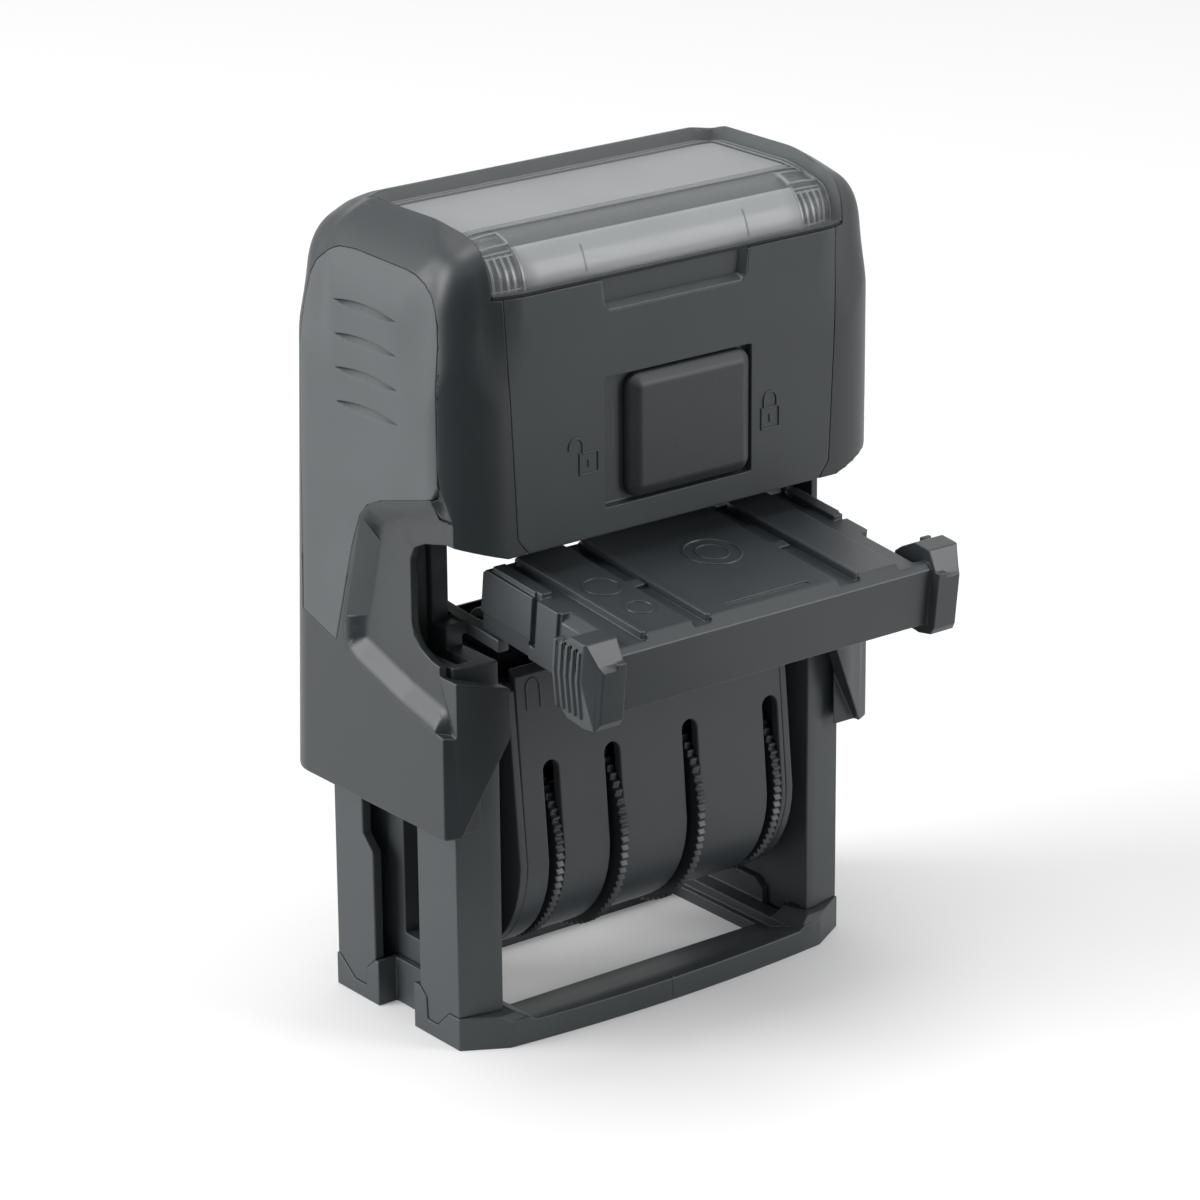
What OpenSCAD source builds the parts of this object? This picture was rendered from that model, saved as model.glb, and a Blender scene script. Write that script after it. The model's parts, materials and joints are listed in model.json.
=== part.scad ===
// Self-inking date stamp, latched down with its ink cartridge slid out at the front.
// X runs to the right, Y to the rear and Z up. The origin is the centre of the base, on the desk.

/* [Base] */
// Depth of the base over its front and rear bars
base_d = 23.5; // [22.5:0.5:25]
// Height of the base's four corner feet
foot_h = 3.1; // [2.8:0.1:3.4]
// Height of the front and rear bars
bar_h = 2.2; // [1.9:0.1:2.5]
// Height of the thin lip round the window
lip_h = 1.2; // [0.9:0.1:1.3]
// How far the window's edge reaches in under the date unit, on each side
window_gap = 0.2; // [0.1:0.05:0.5]
// How far the front and rear bars bow out in their middle
bar_bow = 1; // [0.2:0.1:1.1]
// Depth of the window
window_d = 12.4; // [12.4:0.2:14]
// How far the corners of the base are cut back along the front and the rear
corner_w = 4; // [3:0.5:5]
// How far the corners of the base are cut back along the sides
corner_d = 2.3; // [1.5:0.1:3]
// Depth of the recess in each side bar
side_recess = 2; // [1:0.1:2.5]

/* [Columns] */
// Thickness of a column, outer face to inner face
column_t = 4.3; // [4.1:0.1:4.6]
// Depth of a column over its front and rear strips
column_d = 20.3; // [19.5:0.1:20.8]
// Clearance of a column in the cap, on each side
column_gap = 0.32; // [0.25:0.01:0.4]
// Thickness of a column's outer wall
outer_wall = 1; // [0.8:0.1:1.1]
// Width of the channel in a column that a lift arm runs in
channel_w = 1.5; // [1.4:0.1:1.6]
// Wall of that channel at its front and rear
channel_wall = 1.55; // [1.4:0.05:3]
// Width of the slot in a column's outer wall
slot_w = 6.9; // [6:0.1:8]
// Extra width of that slot above its rear step
slot_step = 1.5; // [0.5:0.1:2]
// Height of that step
slot_step_z = 16.3; // [12:0.1:18]
// Front edge of a column's upper half, measured from the middle
upper_front = 3; // [2.8:0.1:3.4]
// Thickness of the bridge that joins the columns
bridge_t = 2; // [1.6:0.1:2.6]
// Thickness of the rails that carry the cartridge
rail_t = 1.2; // [0.8:0.1:1.4]

/* [Stroke] */
// Travel of the date unit from the ink to the paper, from the latched position
stroke = 18; // [17:0.25:18.5]
// Height of the turning pins when latched
pivot_z = 27; // [26.75:0.05:27.25]
// How far the unlatched cap rises
lift = 3.5; // [3:0.1:3.6]
// Diameter of the turning pins
pin_d = 4; // [3.4:0.1:4.2]
// Radial clearance of a pin or shaft in its hole
fit = 0.05; // [0.03:0.01:0.08]
// Clearance of the turning pins in the column slots, on each side
slot_gap = 0.2; // [0.15:0.05:0.3]

/* [Date unit] */
// Distance of the wheel shaft below the turning pins
shaft_drop = 10.9; // [10.6:0.1:11.2]
// How far the drum that covers the wheels stands out past the columns, front and rear
drum_proud = 0.25; // [0:0.05:0.35]
// Wall of the drum cover
cover_t = 1; // [0.8:0.1:1.2]
// Thickness of the date unit's side cheeks
cheek_t = 0.8; // [0.7:0.05:1]
// How far the two outer setting wheels stand out of the drum
wheel_proud = 0.2; // [0.1:0.05:0.5]
// How far the two inner setting wheels stand out of the drum
tall_wheel_proud = 0.8; // [0.5:0.05:1]
// Thickness of a setting wheel's rim
rim_t = 0.8; // [0.6:0.05:1]
// Number of teeth on a setting wheel's rim
rim_teeth = 88; // [60:1:96]
// Depth of those teeth
tooth_h = 0.35; // [0.2:0.05:0.5]
// Radius of a setting wheel's hub, which drives its band
hub_r = 4.55; // [4.2:0.05:4.8]
// Diameter of the wheel shaft
shaft_d = 2.4; // [2:0.1:3]
// Thickness of a date band
band_t = 0.9; // [0.7:0.05:1.1]
// Height of the raised type on a band
type_h = 0.6; // [0.4:0.05:0.7]
// Height of one character
figure_h = 4; // [3:0.1:4.2]
// Width of a slot in the drum cover
drum_slot_w = 1.7; // [1.4:0.1:1.9]

/* [Cap] */
// Width of the cap
cap_w = 48.24; // [47.5:0.1:51]
// Depth of the cap at the top of its finger notches
cap_d = 26; // [25.6:0.2:28]
// Slope of the cap's rear, in degrees
rear_draft = 2.7; // [0:0.1:3]
// Height of the cap from the bottom of its cheeks to the top
cap_h = 53.9; // [52:0.1:56]
// Wall of the cap
cap_wall = 1.9; // [1.6:0.1:1.95]
// How far the waist is set in below the side grips
waist = 1.1; // [0.5:0.1:1.2]
// How far the top window is set in from the cap's sides
cover_inset = 4.62; // [4.1:0.01:6]
// Thickness of the clear cover
clear_t = 1.2; // [0.8:0.1:1.3]
// Thickness of the paper index card
card_t = 0.2; // [0.1:0.05:0.25]
// Thickness of the soft side grips
grip_t = 0.8; // [0.5:0.1:1]
// Thickness of the front panel
panel_t = 1.15; // [0.9:0.05:1.2]

/* [Lock button] */
// Width of the lock button
button_w = 13.6; // [12:0.1:14]
// Height of the lock button
button_h = 11.3; // [10:0.1:11.5]
// How far the lock button stands out of the front panel
button_proud = 0.6; // [0.3:0.1:0.8]
// Travel of the lock button
lock_travel = 2.2; // [1.5:0.1:2.4]

/* [Ink cartridge] */
// Depth of a finger grip, front to rear
grip_l = 6; // [5.4:0.1:6.4]
// Height of the raised plates on its lid
plate_h = 0.5; // [0.3:0.05:0.6]
// How far the finger grips stand out of its sides
grip_reach = 3; // [2.6:0.1:3.2]
// Length of the cartridge, front to rear
cart_l = 19.4; // [18.8:0.1:19.6]
// Depth of its tray below the front edge
tray_h = 5.3; // [5:0.1:5.4]
// Height of its lid above the front edge
lid_h = 1; // [0.8:0.1:1.2]
// How far the cartridge slides from the photographed place until it is home
cart_travel = 16.9; // [15:0.1:17]
// Tilt of the cartridge and its rails
cart_tilt = 6.3; // [6:0.1:6.6]
// Wall of the tray at its sides
tray_wall = 2; // [1.7:0.1:2.2]

/* [Springs] */
// Outer diameter of a return spring
spring_d = 5; // [4.6:0.1:5.6]
// Diameter of its wire
wire_d = 0.6; // [0.5:0.05:0.7]
// Number of curls
curls = 10; // [8:1:12]
// Distance of a spring's middle from the end of the bridge under it
spring_in = 6.7; // [5.7:0.1:7.2]

/* [Hidden] */
$fn = 64;
far = 40;
eps = 0.01;

// Columns, measured from the middle of the stamp
cap_hw = cap_w / 2;
col_out = cap_hw - cap_wall - column_gap;
base_ledge = 0.1;
base_w = 2 * (col_out + base_ledge);
channel_d = column_d - 2 * channel_wall;
col_in = col_out - column_t;
channel_out = col_out - outer_wall;
channel_in = channel_out - channel_w;
arm_gap = 0.2;
rail_out = col_in - 0.4;
rail_in = col_in - 1.6;
rail_gap = 0.2;
rail_hold_y = upper_front + 2;
hook_h = 2.1;

// Date unit, from the paper up
print_face_z = 2 * pivot_z - stroke;
shaft_z = pivot_z - shaft_drop;
dater_out = rail_in - 0.3;
dater_in = dater_out - cheek_t;
window_w = 2 * (dater_in - window_gap);
drum_r = column_d / 2 + drum_proud;
wheel_r = drum_r + wheel_proud;
tall_wheel_r = drum_r + tall_wheel_proud;
side_gap = 0.1;
pin_r = pin_d / 2;
shaft_r = shaft_d / 2;
band_gap = 0.15;
band_in = hub_r + band_gap;
band_out = band_in + band_t;
band_top = print_face_z - type_h;
bridge_top = band_top - band_t - 0.05;
bridge_corner = 1.3;
bridge_low = shaft_z + tall_wheel_r + 1.5;
cover_top = print_face_z - 1.8;
cover_lean = 1.6;
cover_bevel = 0.6;
cheek_top = print_face_z - bar_h - 0.8;
drum_slot_top = shaft_z + 9.2;

// Rim centres of the four setting wheels, left to right, and the widths of their bands, as shares of the drum
rim_share = [-0.755, -0.295, 0.299, 0.93];
band_share = [0.148, 0.295, 0.416, 0.443];
rim_x = [for (share = rim_share) share * dater_in];
band_w = [for (share = band_share) share * dater_in];
wheel_radii = [wheel_r, tall_wheel_r, tall_wheel_r, wheel_r];
band_rim_gap = 0.2;

// Cartridge, in its own tilted frame: back from its front face and up from that face's top edge
cart_hw = col_in - 0.2;
cart_out_z = print_face_z + 5.5;
cart_home_y = -10.3;
cart_out_y = cart_home_y - cart_travel * cos(cart_tilt);
lid_rib = 0.25;
pad_roof = 0.6;
pad_end_wall = 1.4;
grip_out = cart_hw + grip_reach + 0.4;
grip_root = cart_hw - eps;
grip_b = [-1, grip_l - 1];
lid_low = lid_h - plate_h;
plate_gaps = [[-9, -7], [7.2, 9.6]];
plate_side = 3.4;
side_inset = 0.3;
groove_b = 11.6;

// Frame above the cartridge
bridge_z = cart_out_z + sin(cart_tilt) * (cart_travel + cart_l) + lid_h + lid_rib + 0.7;
bridge_hw = channel_in - 0.2;
spring_x = bridge_hw - spring_in;
bridge_top_z = bridge_z + bridge_t;
column_low_z = foot_h + 1.25;
column_front_z = print_face_z + 0.3;

// Cap
cheek_z = foot_h + stroke + 0.1;
cap_top = cheek_z + cap_h;
cap_hd = cap_d / 2;
cover_w = cap_w - 2 * cover_inset;
side_round = 10.3;
side_rise = 8.6;
front_round = 5.65;
rear_round = 6.8;
rear_corner = 4;
front_corner = [5.72, 4];
cheek_chamfer = 1.4;
cheek_in = col_in + 0.8;
mouth_z = cart_out_z + 5;
split_z = cart_out_z + 0.5;
roof_gap = 0.25;
card_d = clear_t + roof_gap;
seat_d = card_d + card_t + 0.05;
roof_d = seat_d + 1.5;
roof_z = cap_top - roof_d;
cover_rear = 6;
card_front = -6;
panel_top = cap_top - front_round;
panel_y = -cap_hd + panel_t;
panel_hw = cheek_in;
panel_low_hw = panel_hw - 1;
notch_top = mouth_z + 1.9;
notch_floor = mouth_z - 11.8;

// Lock button
recess_x = [-button_w + 5.7, 8.4];
recess_z = [panel_top - 20.5, panel_top - 8.8];
recess_d = 0.8;
button_x = [recess_x[1] - 0.2 - button_w, recess_x[1] - 0.2];
button_z = [recess_z[0] + 0.2, recess_z[0] + 0.2 + button_h];
button_bevel = 1;
button_round = 1.3;
neck_x = [-1.4, 3.2];
neck_z = [(recess_z[0] + recess_z[1]) / 2 - 1.6, (recess_z[0] + recess_z[1]) / 2 + 1.6];
pad_d = 0.7;
pad_x = [recess_x[0] - 1.9, recess_x[1] + 1.9];
pad_z = [recess_z[0] - 0.9, recess_z[1] + 0.9];
latch_y = panel_y + pad_d + 0.3;
latch_t = 0.8;
catch_y = latch_y + latch_t + 0.45;
catch_t = 1.2;

// Springs
spring_y = 2;
post_r = spring_d / 2 - wire_d - 0.3;
post_h = 10;

// Points on an arc about a centre, from one angle to another
function arc(centre, r, from, to, steps = 8) =
    [for (i = [0:steps]) let (a = from + (to - from) * i / steps) centre + r * [cos(a), sin(a)]];

// Points on a quarter of an ellipse
function oval(centre, radii, from, to, steps = 8) =
    [for (i = [0:steps])
        let (a = from + (to - from) * i / steps)
        centre + [radii[0] * cos(a), radii[1] * sin(a)]];

// Points on a curve that rounds the corner at b, from a to c
function bent(a, b, c, steps = 6) =
    [for (i = [0:steps]) let (s = i / steps) (1 - s) * (1 - s) * a + 2 * s * (1 - s) * b + s * s * c];

function mirrored(points) = [for (i = [len(points) - 1:-1:0]) [-points[i][0], points[i][1]]];

// Extrudes a shape drawn in Y and Z from x0 to x1
module along_x(x0, x1) {
    translate([x0, 0, 0]) rotate([90, 0, 90]) linear_extrude(x1 - x0) children();
}

// Extrudes a shape drawn in X and Z from y0 to y1
module along_y(y0, y1) {
    translate([0, y1, 0]) rotate([90, 0, 0]) linear_extrude(y1 - y0) children();
}

// A box from its lowest to its highest corner
module block(low, high) {
    translate(low) cube(high - low);
}

module on_both_sides() {
    children();
    mirror([1, 0, 0]) children();
}

// Places the cartridge's own frame
module cart_frame() {
    translate([0, cart_out_y, cart_out_z]) rotate([cart_tilt, 0, 0]) children();
}

// Base

// The stepped joint between the base and a column, seen from the side
function seam() = [
    [-far, 0], [-far, foot_h], [-7.9, foot_h], [-6.1, lip_h + 0.2], [-4.6, lip_h + 0.2], [-4.5, foot_h + 0.4],
    [-slot_w / 2, column_low_z], [slot_w / 2, column_low_z], [4.7, foot_h + 0.1], [4.9, lip_h + 0.2],
    [6.7, lip_h + 0.2], [9, foot_h], [far, foot_h], [far, 0]
];

// Points along the bowed front bar, from left to right
function bar_front() =
    let (hw = base_w / 2 - corner_w, r = (hw * hw + bar_bow * bar_bow) / (2 * bar_bow), turn = asin(hw / r))
    arc([0, -base_d / 2 - bar_bow + r], r, 270 - turn, 270 + turn, 12);

function base_outline() =
    let (corner = [base_w / 2, -base_d / 2 + corner_d],
         half = concat([[-corner[0], corner[1]]], bar_front(), [corner]))
    concat(half, [for (p = half) [-p[0], -p[1]]]);

module foot_ring() {
    pocket_w = dater_out - 0.4;
    step = 1.7;
    edge = 0.9;
    color("#4d5356") difference() {
        intersection() {
            linear_extrude(far) polygon(base_outline());
            union() {
                along_y(-far, far) polygon([
                    [-pocket_w - step, 0], [-pocket_w - step, foot_h], [-pocket_w, bar_h],
                    [pocket_w, bar_h], [pocket_w + step, foot_h], [pocket_w + step, 0]
                ]);
                on_both_sides() along_x(pocket_w + step, far) polygon(seam());
            }
        }
        // Window and the slopes that lead down to it
        block([-window_w / 2, -window_d / 2, -far], [window_w / 2, window_d / 2, far]);
        along_x(-pocket_w, pocket_w) polygon([
            [-base_d / 2 + 0.8, bar_h + eps], [-base_d / 2 + 4, lip_h], [base_d / 2 - 4, lip_h],
            [base_d / 2 - 0.8, bar_h + eps]
        ]);
        // Lower ledge beside the window
        on_both_sides()
            block([pocket_w - eps, -base_d / 2 + 4, bar_h], [pocket_w + step + eps, base_d / 2 - 4, far]);
        // Side recess between the feet
        on_both_sides() block([base_w / 2 - side_recess, -2.6, -far], [far, 2.9, far]);
        // Chamfered edge along the feet at the front and rear
        for (side = [-1, 1])
            translate([0, side * base_d / 2, foot_h]) rotate([45, 0, 0])
                cube([base_w, edge, edge], center = true);
    }
}

// Columns and bridge

function column_plan() = [
    [col_in, -column_d / 2], [col_in + 1.1, -column_d / 2], [col_out, -column_d / 2 + 0.8],
    [col_out, column_d / 2 - 0.8], [col_in + 1.1, column_d / 2], [col_in, column_d / 2]
];

// A column with its channel, slots and cartridge rail, drawn on the right
module column() {
    pin_slot = pin_r + slot_gap;
    difference() {
        linear_extrude(bridge_z) polygon(column_plan());
        along_x(col_in - 1, far) polygon(seam());
        block([channel_in, -channel_d / 2, 0], [channel_out, channel_d / 2, far * 2]);
        // Slot in the outer wall, with the step at its rear edge
        along_x(channel_out - eps, far) polygon([
            [-slot_w / 2, 0], [slot_w / 2, 0], [slot_w / 2, slot_step_z - slot_step],
            [slot_w / 2 + slot_step, slot_step_z], [slot_w / 2 + slot_step, column_front_z - 2],
            [-slot_w / 2, column_front_z - 2]
        ]);
        // Slot that the turning pin runs in
        block([col_in - 1, -pin_slot, pivot_z - stroke - pin_slot],
              [channel_in + eps, pin_slot, pivot_z + lift + pin_slot]);
        // Front of the upper half, cut away for the cartridge's finger grips
        block([col_in - 1, -far, column_front_z + hook_h], [far, -upper_front, far * 2]);
        block([col_in - 1, -far, column_front_z], [far, -rail_hold_y, far * 2]);
        block([channel_out - eps, -far, column_front_z], [far, -upper_front, far * 2]);
    }
    // Rail under the cartridge, held by the upper half of the column
    intersection() {
        cart_frame()
            block([rail_in, 0, -tray_h - rail_gap - rail_t], [col_in + eps, far * 2, -tray_h - rail_gap]);
        union() {
            block([0, -column_d / 2 + 0.5, 0], [rail_out, column_d / 2, far * 2]);
            block([0, -rail_hold_y, 0], [far, column_d / 2, far * 2]);
        }
    }
}

module right_column() {
    color("#565c60") column();
}

module left_column() {
    color("#565c60") mirror([1, 0, 0]) column();
}

module chassis_bridge() {
    catch_hw = 8;
    color("#50565a") difference() {
        union() {
            block([-bridge_hw, -upper_front, bridge_z], [bridge_hw, column_d / 2, bridge_top_z]);
            block([-catch_hw, catch_y, bridge_z], [catch_hw, 0, bridge_top_z]);
            // Catch plate behind the latch
            block([-catch_hw, catch_y, bridge_z], [catch_hw, catch_y + catch_t, neck_z[1] + 1.5]);
            // Rear stop for the cartridge
            block([-6, column_d / 2 - 0.8, bridge_z - 5], [6, column_d / 2, bridge_z + eps]);
            // Stiffening rib and spring posts
            block([-spring_x + spring_d, spring_y + 1, bridge_z],
                  [spring_x - spring_d, spring_y + 2.2, bridge_top_z + 2]);
            for (side = [-1, 1])
                translate([side * spring_x, spring_y, bridge_z]) cylinder(r = post_r, h = bridge_t + post_h);
        }
        // Open slot for the latch's tooth
        block([-3.1, catch_y - 1, neck_z[0] - 0.6], [4.2, catch_y + catch_t + 1, far * 2]);
    }
}

// Return springs

// Height of the wire's middle at a share u of the spring's turns
function coil_z(u, length) = wire_d / 2 + (length - wire_d) * u;

function coil_ring(u, length) =
    let (a = 360 * curls * u, r = (spring_d - wire_d) / 2, c = [r * cos(a), r * sin(a), coil_z(u, length)])
    [for (k = [0:5]) let (b = 60 * k) c + wire_d / 2 * [cos(b) * cos(a), cos(b) * sin(a), sin(b)]];

function spring_gap(length) = (length - wire_d) / curls - wire_d;

module spring() {
    length = roof_z - bridge_top_z;
    rings = curls * 8;
    last = rings * 6;
    points = [for (i = [0:rings]) for (p = coil_ring(i / rings, length)) p];
    walls = [for (i = [0:rings - 1]) for (k = [0:5]) let (a = i * 6 + k, b = i * 6 + (k + 1) % 6)
        each [[a, a + 6, b + 6], [a, b + 6, b]]];
    echo("least gap between curls", spring_gap(length));
    translate([0, spring_y, bridge_top_z]) polyhedron(
        points, concat([[0, 1, 2, 3, 4, 5]], walls, [[for (k = [5:-1:0]) last + k]]), convexity = 10);
}

module left_return_spring() {
    color("silver") translate([-spring_x, 0, 0]) spring();
}

module right_return_spring() {
    color("silver") translate([spring_x, 0, 0]) spring();
}

// Cap

// Outline of the cap from the front, drawn in by d
function cap_front(d) =
    let (centre = [cap_hw - side_round, cap_top - side_rise], turn = asin(side_rise / side_round),
         right = arc(centre, side_round - d, 0, turn))
    concat([[cap_hw - d, 0]], [for (p = right) [p[0], min(p[1], cap_top - d)]],
           [for (p = mirrored(right)) [p[0], min(p[1], cap_top - d)]], [[-cap_hw + d, 0]]);

// Distance of the sloping rear from the middle at a height
function rear_y(z) = cap_hd - (z - mouth_z) * tan(rear_draft);

// Outline of the cap from the side, drawn in by d
function cap_side(d) =
    let (round_z = cap_top - rear_round, round_y = rear_y(round_z) - rear_round / cos(rear_draft))
    concat(
        [[-cap_hd + d, 0]],
        arc([-cap_hd + front_round, cap_top - front_round], front_round - d, 180, 90),
        arc([round_y, round_z], rear_round - d, 90, rear_draft),
        [[rear_y(0) - d / cos(rear_draft), 0]]);

// Plan of the cap's front above the finger notches, drawn in by d
function cap_plan(d) =
    let (half = concat(
        oval([cap_hw - front_corner[0], -cap_hd + front_corner[1]], front_corner - [d, d], -90, 0),
        [[cap_hw - d, far]]))
    concat(half, mirrored(half));

// Plan of the cheeks' front below the finger notches, drawn in by d
function cheek_plan(d) =
    let (half = [
        [cheek_in, -cap_hd + d * 0.8], [cap_hw - cheek_chamfer - d * 0.8, -cap_hd + 1.5 + d * 0.6],
        [cap_hw - d, -cap_hd + 2.2 + d * 0.6], [cap_hw - d, far]
    ])
    concat(half, mirrored(half));

// Plan of the cap's rear, measured from its rear face and drawn in by d
function rear_plan(d) =
    let (half = concat([[cap_hw - d, -far]], arc([cap_hw - rear_corner, -rear_corner], rear_corner - d, 0, 90)))
    concat(half, mirrored(half));

// Everything in front of the cap's sloping rear
module rear_form(d) {
    translate([0, cap_hd, mouth_z]) rotate([rear_draft, 0, 0])
        translate([0, 0, -far * 2]) linear_extrude(far * 4) polygon(rear_plan(d));
}

module cap_form(d) {
    intersection() {
        along_y(-far, far) polygon(cap_front(d));
        along_x(-far, far) polygon(cap_side(d));
        linear_extrude(far * 3) polygon(cap_plan(d));
        rear_form(d);
    }
}

module cheek_form(d, low) {
    intersection() {
        translate([0, 0, low]) linear_extrude(split_z - low) polygon(cheek_plan(d));
        rear_form(d);
    }
}

// Top edge of the set-in waist below a side grip, from the side
function waist_top() =
    let (m = mouth_z - 46.5) [[-9.7, 52.2 + m], [-2.2, 50.2 + m], [-0.2, 49.3 + m], [0.9, 48.1 + m]];

// Outline of a soft side grip, from the side
function grip_outline() =
    let (t = cap_top - 75.1, m = mouth_z - 46.5) concat(
        bent([9.75, 63.5 + t], [9.6, 71.5 + t], [2.5, 71.45 + t]),
        bent([-5.2, 71.3 + t], [-10.2, 71.3 + t], [-10.25, 65.8 + t]),
        [[-10.3, 53.3 + m]], waist_top(), [[2.2, 45 + m], [5.1, 35.3 + m], [10.2, 36.9 + m]]);

// Outline of the set-in waist, from the side
function waist_outline() =
    let (m = mouth_z - 46.5) concat([[-far, 50.2 + m], [-9.7, 50.2 + m]], waist_top(), [
        [3.6, 38.1 + m], [3.8, 35.7 + m], [3.2, 34.9 + m], [2.2, 34.3 + m], [-4.5, 32.2 + m], [-9.2, 31.1 + m],
        [-far, 24 + m]
    ]);

// Outline of the finger notch, from the side, open to the front
function notch_outline() =
    let (m = mouth_z - 46.5) [
        [-far, 48.4 + m], [-11, 48.2 + m], [-7.1, 47.3 + m], [-5.6, 46.6 + m], [-5, 45.4 + m], [-5, 39.6 + m],
        [-5.3, 38.5 + m], [-6.1, 37.6 + m], [-7.7, 36.85 + m], [-11.7, 36.05 + m], [-far, 36.05 + m]
    ];

// The part of the notch that is cut, from the front: its ceiling and its floor slope down to the inside
function notch_slopes() = [
    [0, notch_floor], [cheek_in, notch_floor], [cap_hw, notch_floor + 1.3], [far, notch_floor + 1.3],
    [far, notch_top], [cap_hw, notch_top], [cheek_in, mouth_z], [0, mouth_z]
];

function panel_outline() = [
    [-panel_hw, panel_top], [panel_hw, panel_top], [panel_low_hw, mouth_z + 1.5], [panel_low_hw - 1.2, mouth_z],
    [-panel_low_hw + 1.2, mouth_z], [-panel_low_hw, mouth_z + 1.5]
];

module cap_shell() {
    wrap_z = [cheek_z, cheek_z + 9];
    roof_hw = cover_w / 2 + 0.3;
    color("#474d51") difference() {
        union() {
            difference() {
                union() {
                    intersection() {
                        cap_form(0);
                        block([-far, -far, split_z], [far, far, far * 3]);
                    }
                    cheek_form(0, cheek_z);
                }
                // Inside, with the roof under the index card kept
                difference() {
                    intersection() {
                        cap_form(cap_wall);
                        block([-far, -far, split_z - eps], [far, far, far * 3]);
                    }
                    difference() {
                        block([-roof_hw, -far, panel_top - 2], [roof_hw, cover_rear + 1.2, far * 3]);
                        cap_form(roof_d);
                    }
                }
                cheek_form(cap_wall, cheek_z - 1);
                // Open mouth between the cheeks, front and rear
                block([-cheek_in, -far, 0], [cheek_in, far, mouth_z]);
                // Slanting lower corner of each cheek
                on_both_sides() along_y(-far, -cap_hd + 2.2) polygon([
                    [0, 0], [cap_hw - cheek_chamfer, 0], [cap_hw - cheek_chamfer, wrap_z[0]],
                    [cheek_in, wrap_z[1]], [0, wrap_z[1]]
                ]);
            }
            // Guides for the lift arms
            on_both_sides()
                block([channel_out + 0.05, -3.4, bridge_z + 0.5],
                      [cap_hw - cap_wall + eps, 3.4, bridge_z + 14]);
            // Spigots that centre the springs under the roof
            on_both_sides() translate([spring_x, spring_y, roof_z - 5]) cylinder(r = post_r, h = 5 + eps);
        }
        on_both_sides() {
            intersection() {
                along_x(cheek_in - 0.2, far) polygon(notch_outline());
                along_y(-far, far) polygon(notch_slopes());
            }
            along_y(-far, -cap_hd + 4) polygon([
                [cheek_in - 0.2, notch_floor], [cap_hw, notch_floor + 1.3], [far, notch_floor + 3],
                [cheek_in - 0.2, notch_floor + 3]
            ]);
            along_x(cap_hw - waist, far) polygon(waist_outline());
            // The waist fades in down the front corners
            along_y(-far, -9.7) polygon([
                [cap_hw, mouth_z + 8.7], [far, mouth_z + 8.7], [far, mouth_z + 3.6],
                [cap_hw - waist, mouth_z + 3.6]
            ]);
        }
        // Seats of the soft grips, the clear cover and the front panel
        difference() {
            on_both_sides() along_x(cover_w / 2 - 1, far) polygon(grip_outline());
            cap_form(grip_t);
        }
        difference() {
            block([-cover_w / 2, -far, panel_top], [cover_w / 2, cover_rear, far * 3]);
            cap_form(seat_d);
        }
        along_y(-far, panel_y) polygon(panel_outline());
        block([pad_x[0] - 0.1, -far, pad_z[0] - 0.1], [pad_x[1] + 0.1, -cap_hd + cap_wall + 1, pad_z[1] + 0.1]);
    }
}

module front_panel() {
    color("#4a5053") difference() {
        union() {
            along_y(-cap_hd, panel_y) polygon(panel_outline());
            // Thicker pad behind the button, which fills the opening in the cap
            block([pad_x[0], panel_y - eps, pad_z[0]], [pad_x[1], panel_y + pad_d, pad_z[1]]);
        }
        // Button recess
        block([recess_x[0], -far, recess_z[0]], [recess_x[1], -cap_hd + recess_d, recess_z[1]]);
        // Slot that the button's neck slides in
        block([neck_x[0] - lock_travel - 0.2, -far, neck_z[0] - 0.2], [neck_x[1] + 0.2, far, neck_z[1] + 0.2]);
        // Finger notch under the clear cover
        along_y(-far, -cap_hd + recess_d) polygon([
            [-8.3, panel_top + 1], [-7.9, panel_top - 2.2], [-7.2, panel_top - 2.9], [7.2, panel_top - 2.9],
            [7.9, panel_top - 2.2], [8.3, panel_top + 1]
        ]);
    }
}

module grip_insert() {
    ridge_r = 22;
    difference() {
        intersection() {
            along_x(cover_w / 2 - 1, far) polygon(grip_outline());
            cap_form(0);
        }
        cap_form(grip_t);
        along_x(cap_hw - waist, far) polygon(waist_outline());
        // Four lens-shaped finger grooves
        for (i = [0:3])
            translate([cap_hw - 0.3, -0.5, cap_top - 8.2 - 3.05 * i]) intersection() {
                translate([0, 0, ridge_r - 0.5]) rotate([0, 90, 0]) cylinder(r = ridge_r, h = 1);
                translate([0, 0, -ridge_r + 0.5]) rotate([0, 90, 0]) cylinder(r = ridge_r, h = 1);
            }
    }
}

module right_grip_insert() {
    color("#6b6f71") grip_insert();
}

module left_grip_insert() {
    color("#6b6f71") mirror([1, 0, 0]) grip_insert();
}

module clear_cover() {
    side = 0.1;
    hw = cover_w / 2 - side;
    roll_end = [3.9, 0.7];
    color([0.8, 0.83, 0.85, 0.5]) union() {
        intersection() {
            difference() {
                cap_form(0);
                cap_form(clear_t);
            }
            block([-hw, -far, panel_top + side], [hw, cover_rear - side, far * 3]);
        }
        // Thicker ends of the front roll
        intersection() {
            difference() {
                cap_form(clear_t - eps);
                cap_form(card_d);
            }
            on_both_sides()
                block([hw - roll_end[0], -far, panel_top + 0.5], [hw - roll_end[1], card_front - 1, far * 3]);
        }
    }
}

module index_card() {
    margin = 1.2;
    color("#aaaeaf") intersection() {
        difference() {
            cap_form(card_d);
            cap_form(card_d + card_t);
        }
        block([-cover_w / 2 + margin, card_front, panel_top + margin],
              [cover_w / 2 - margin, cover_rear - margin, far * 3]);
    }
}

// Lock

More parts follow.
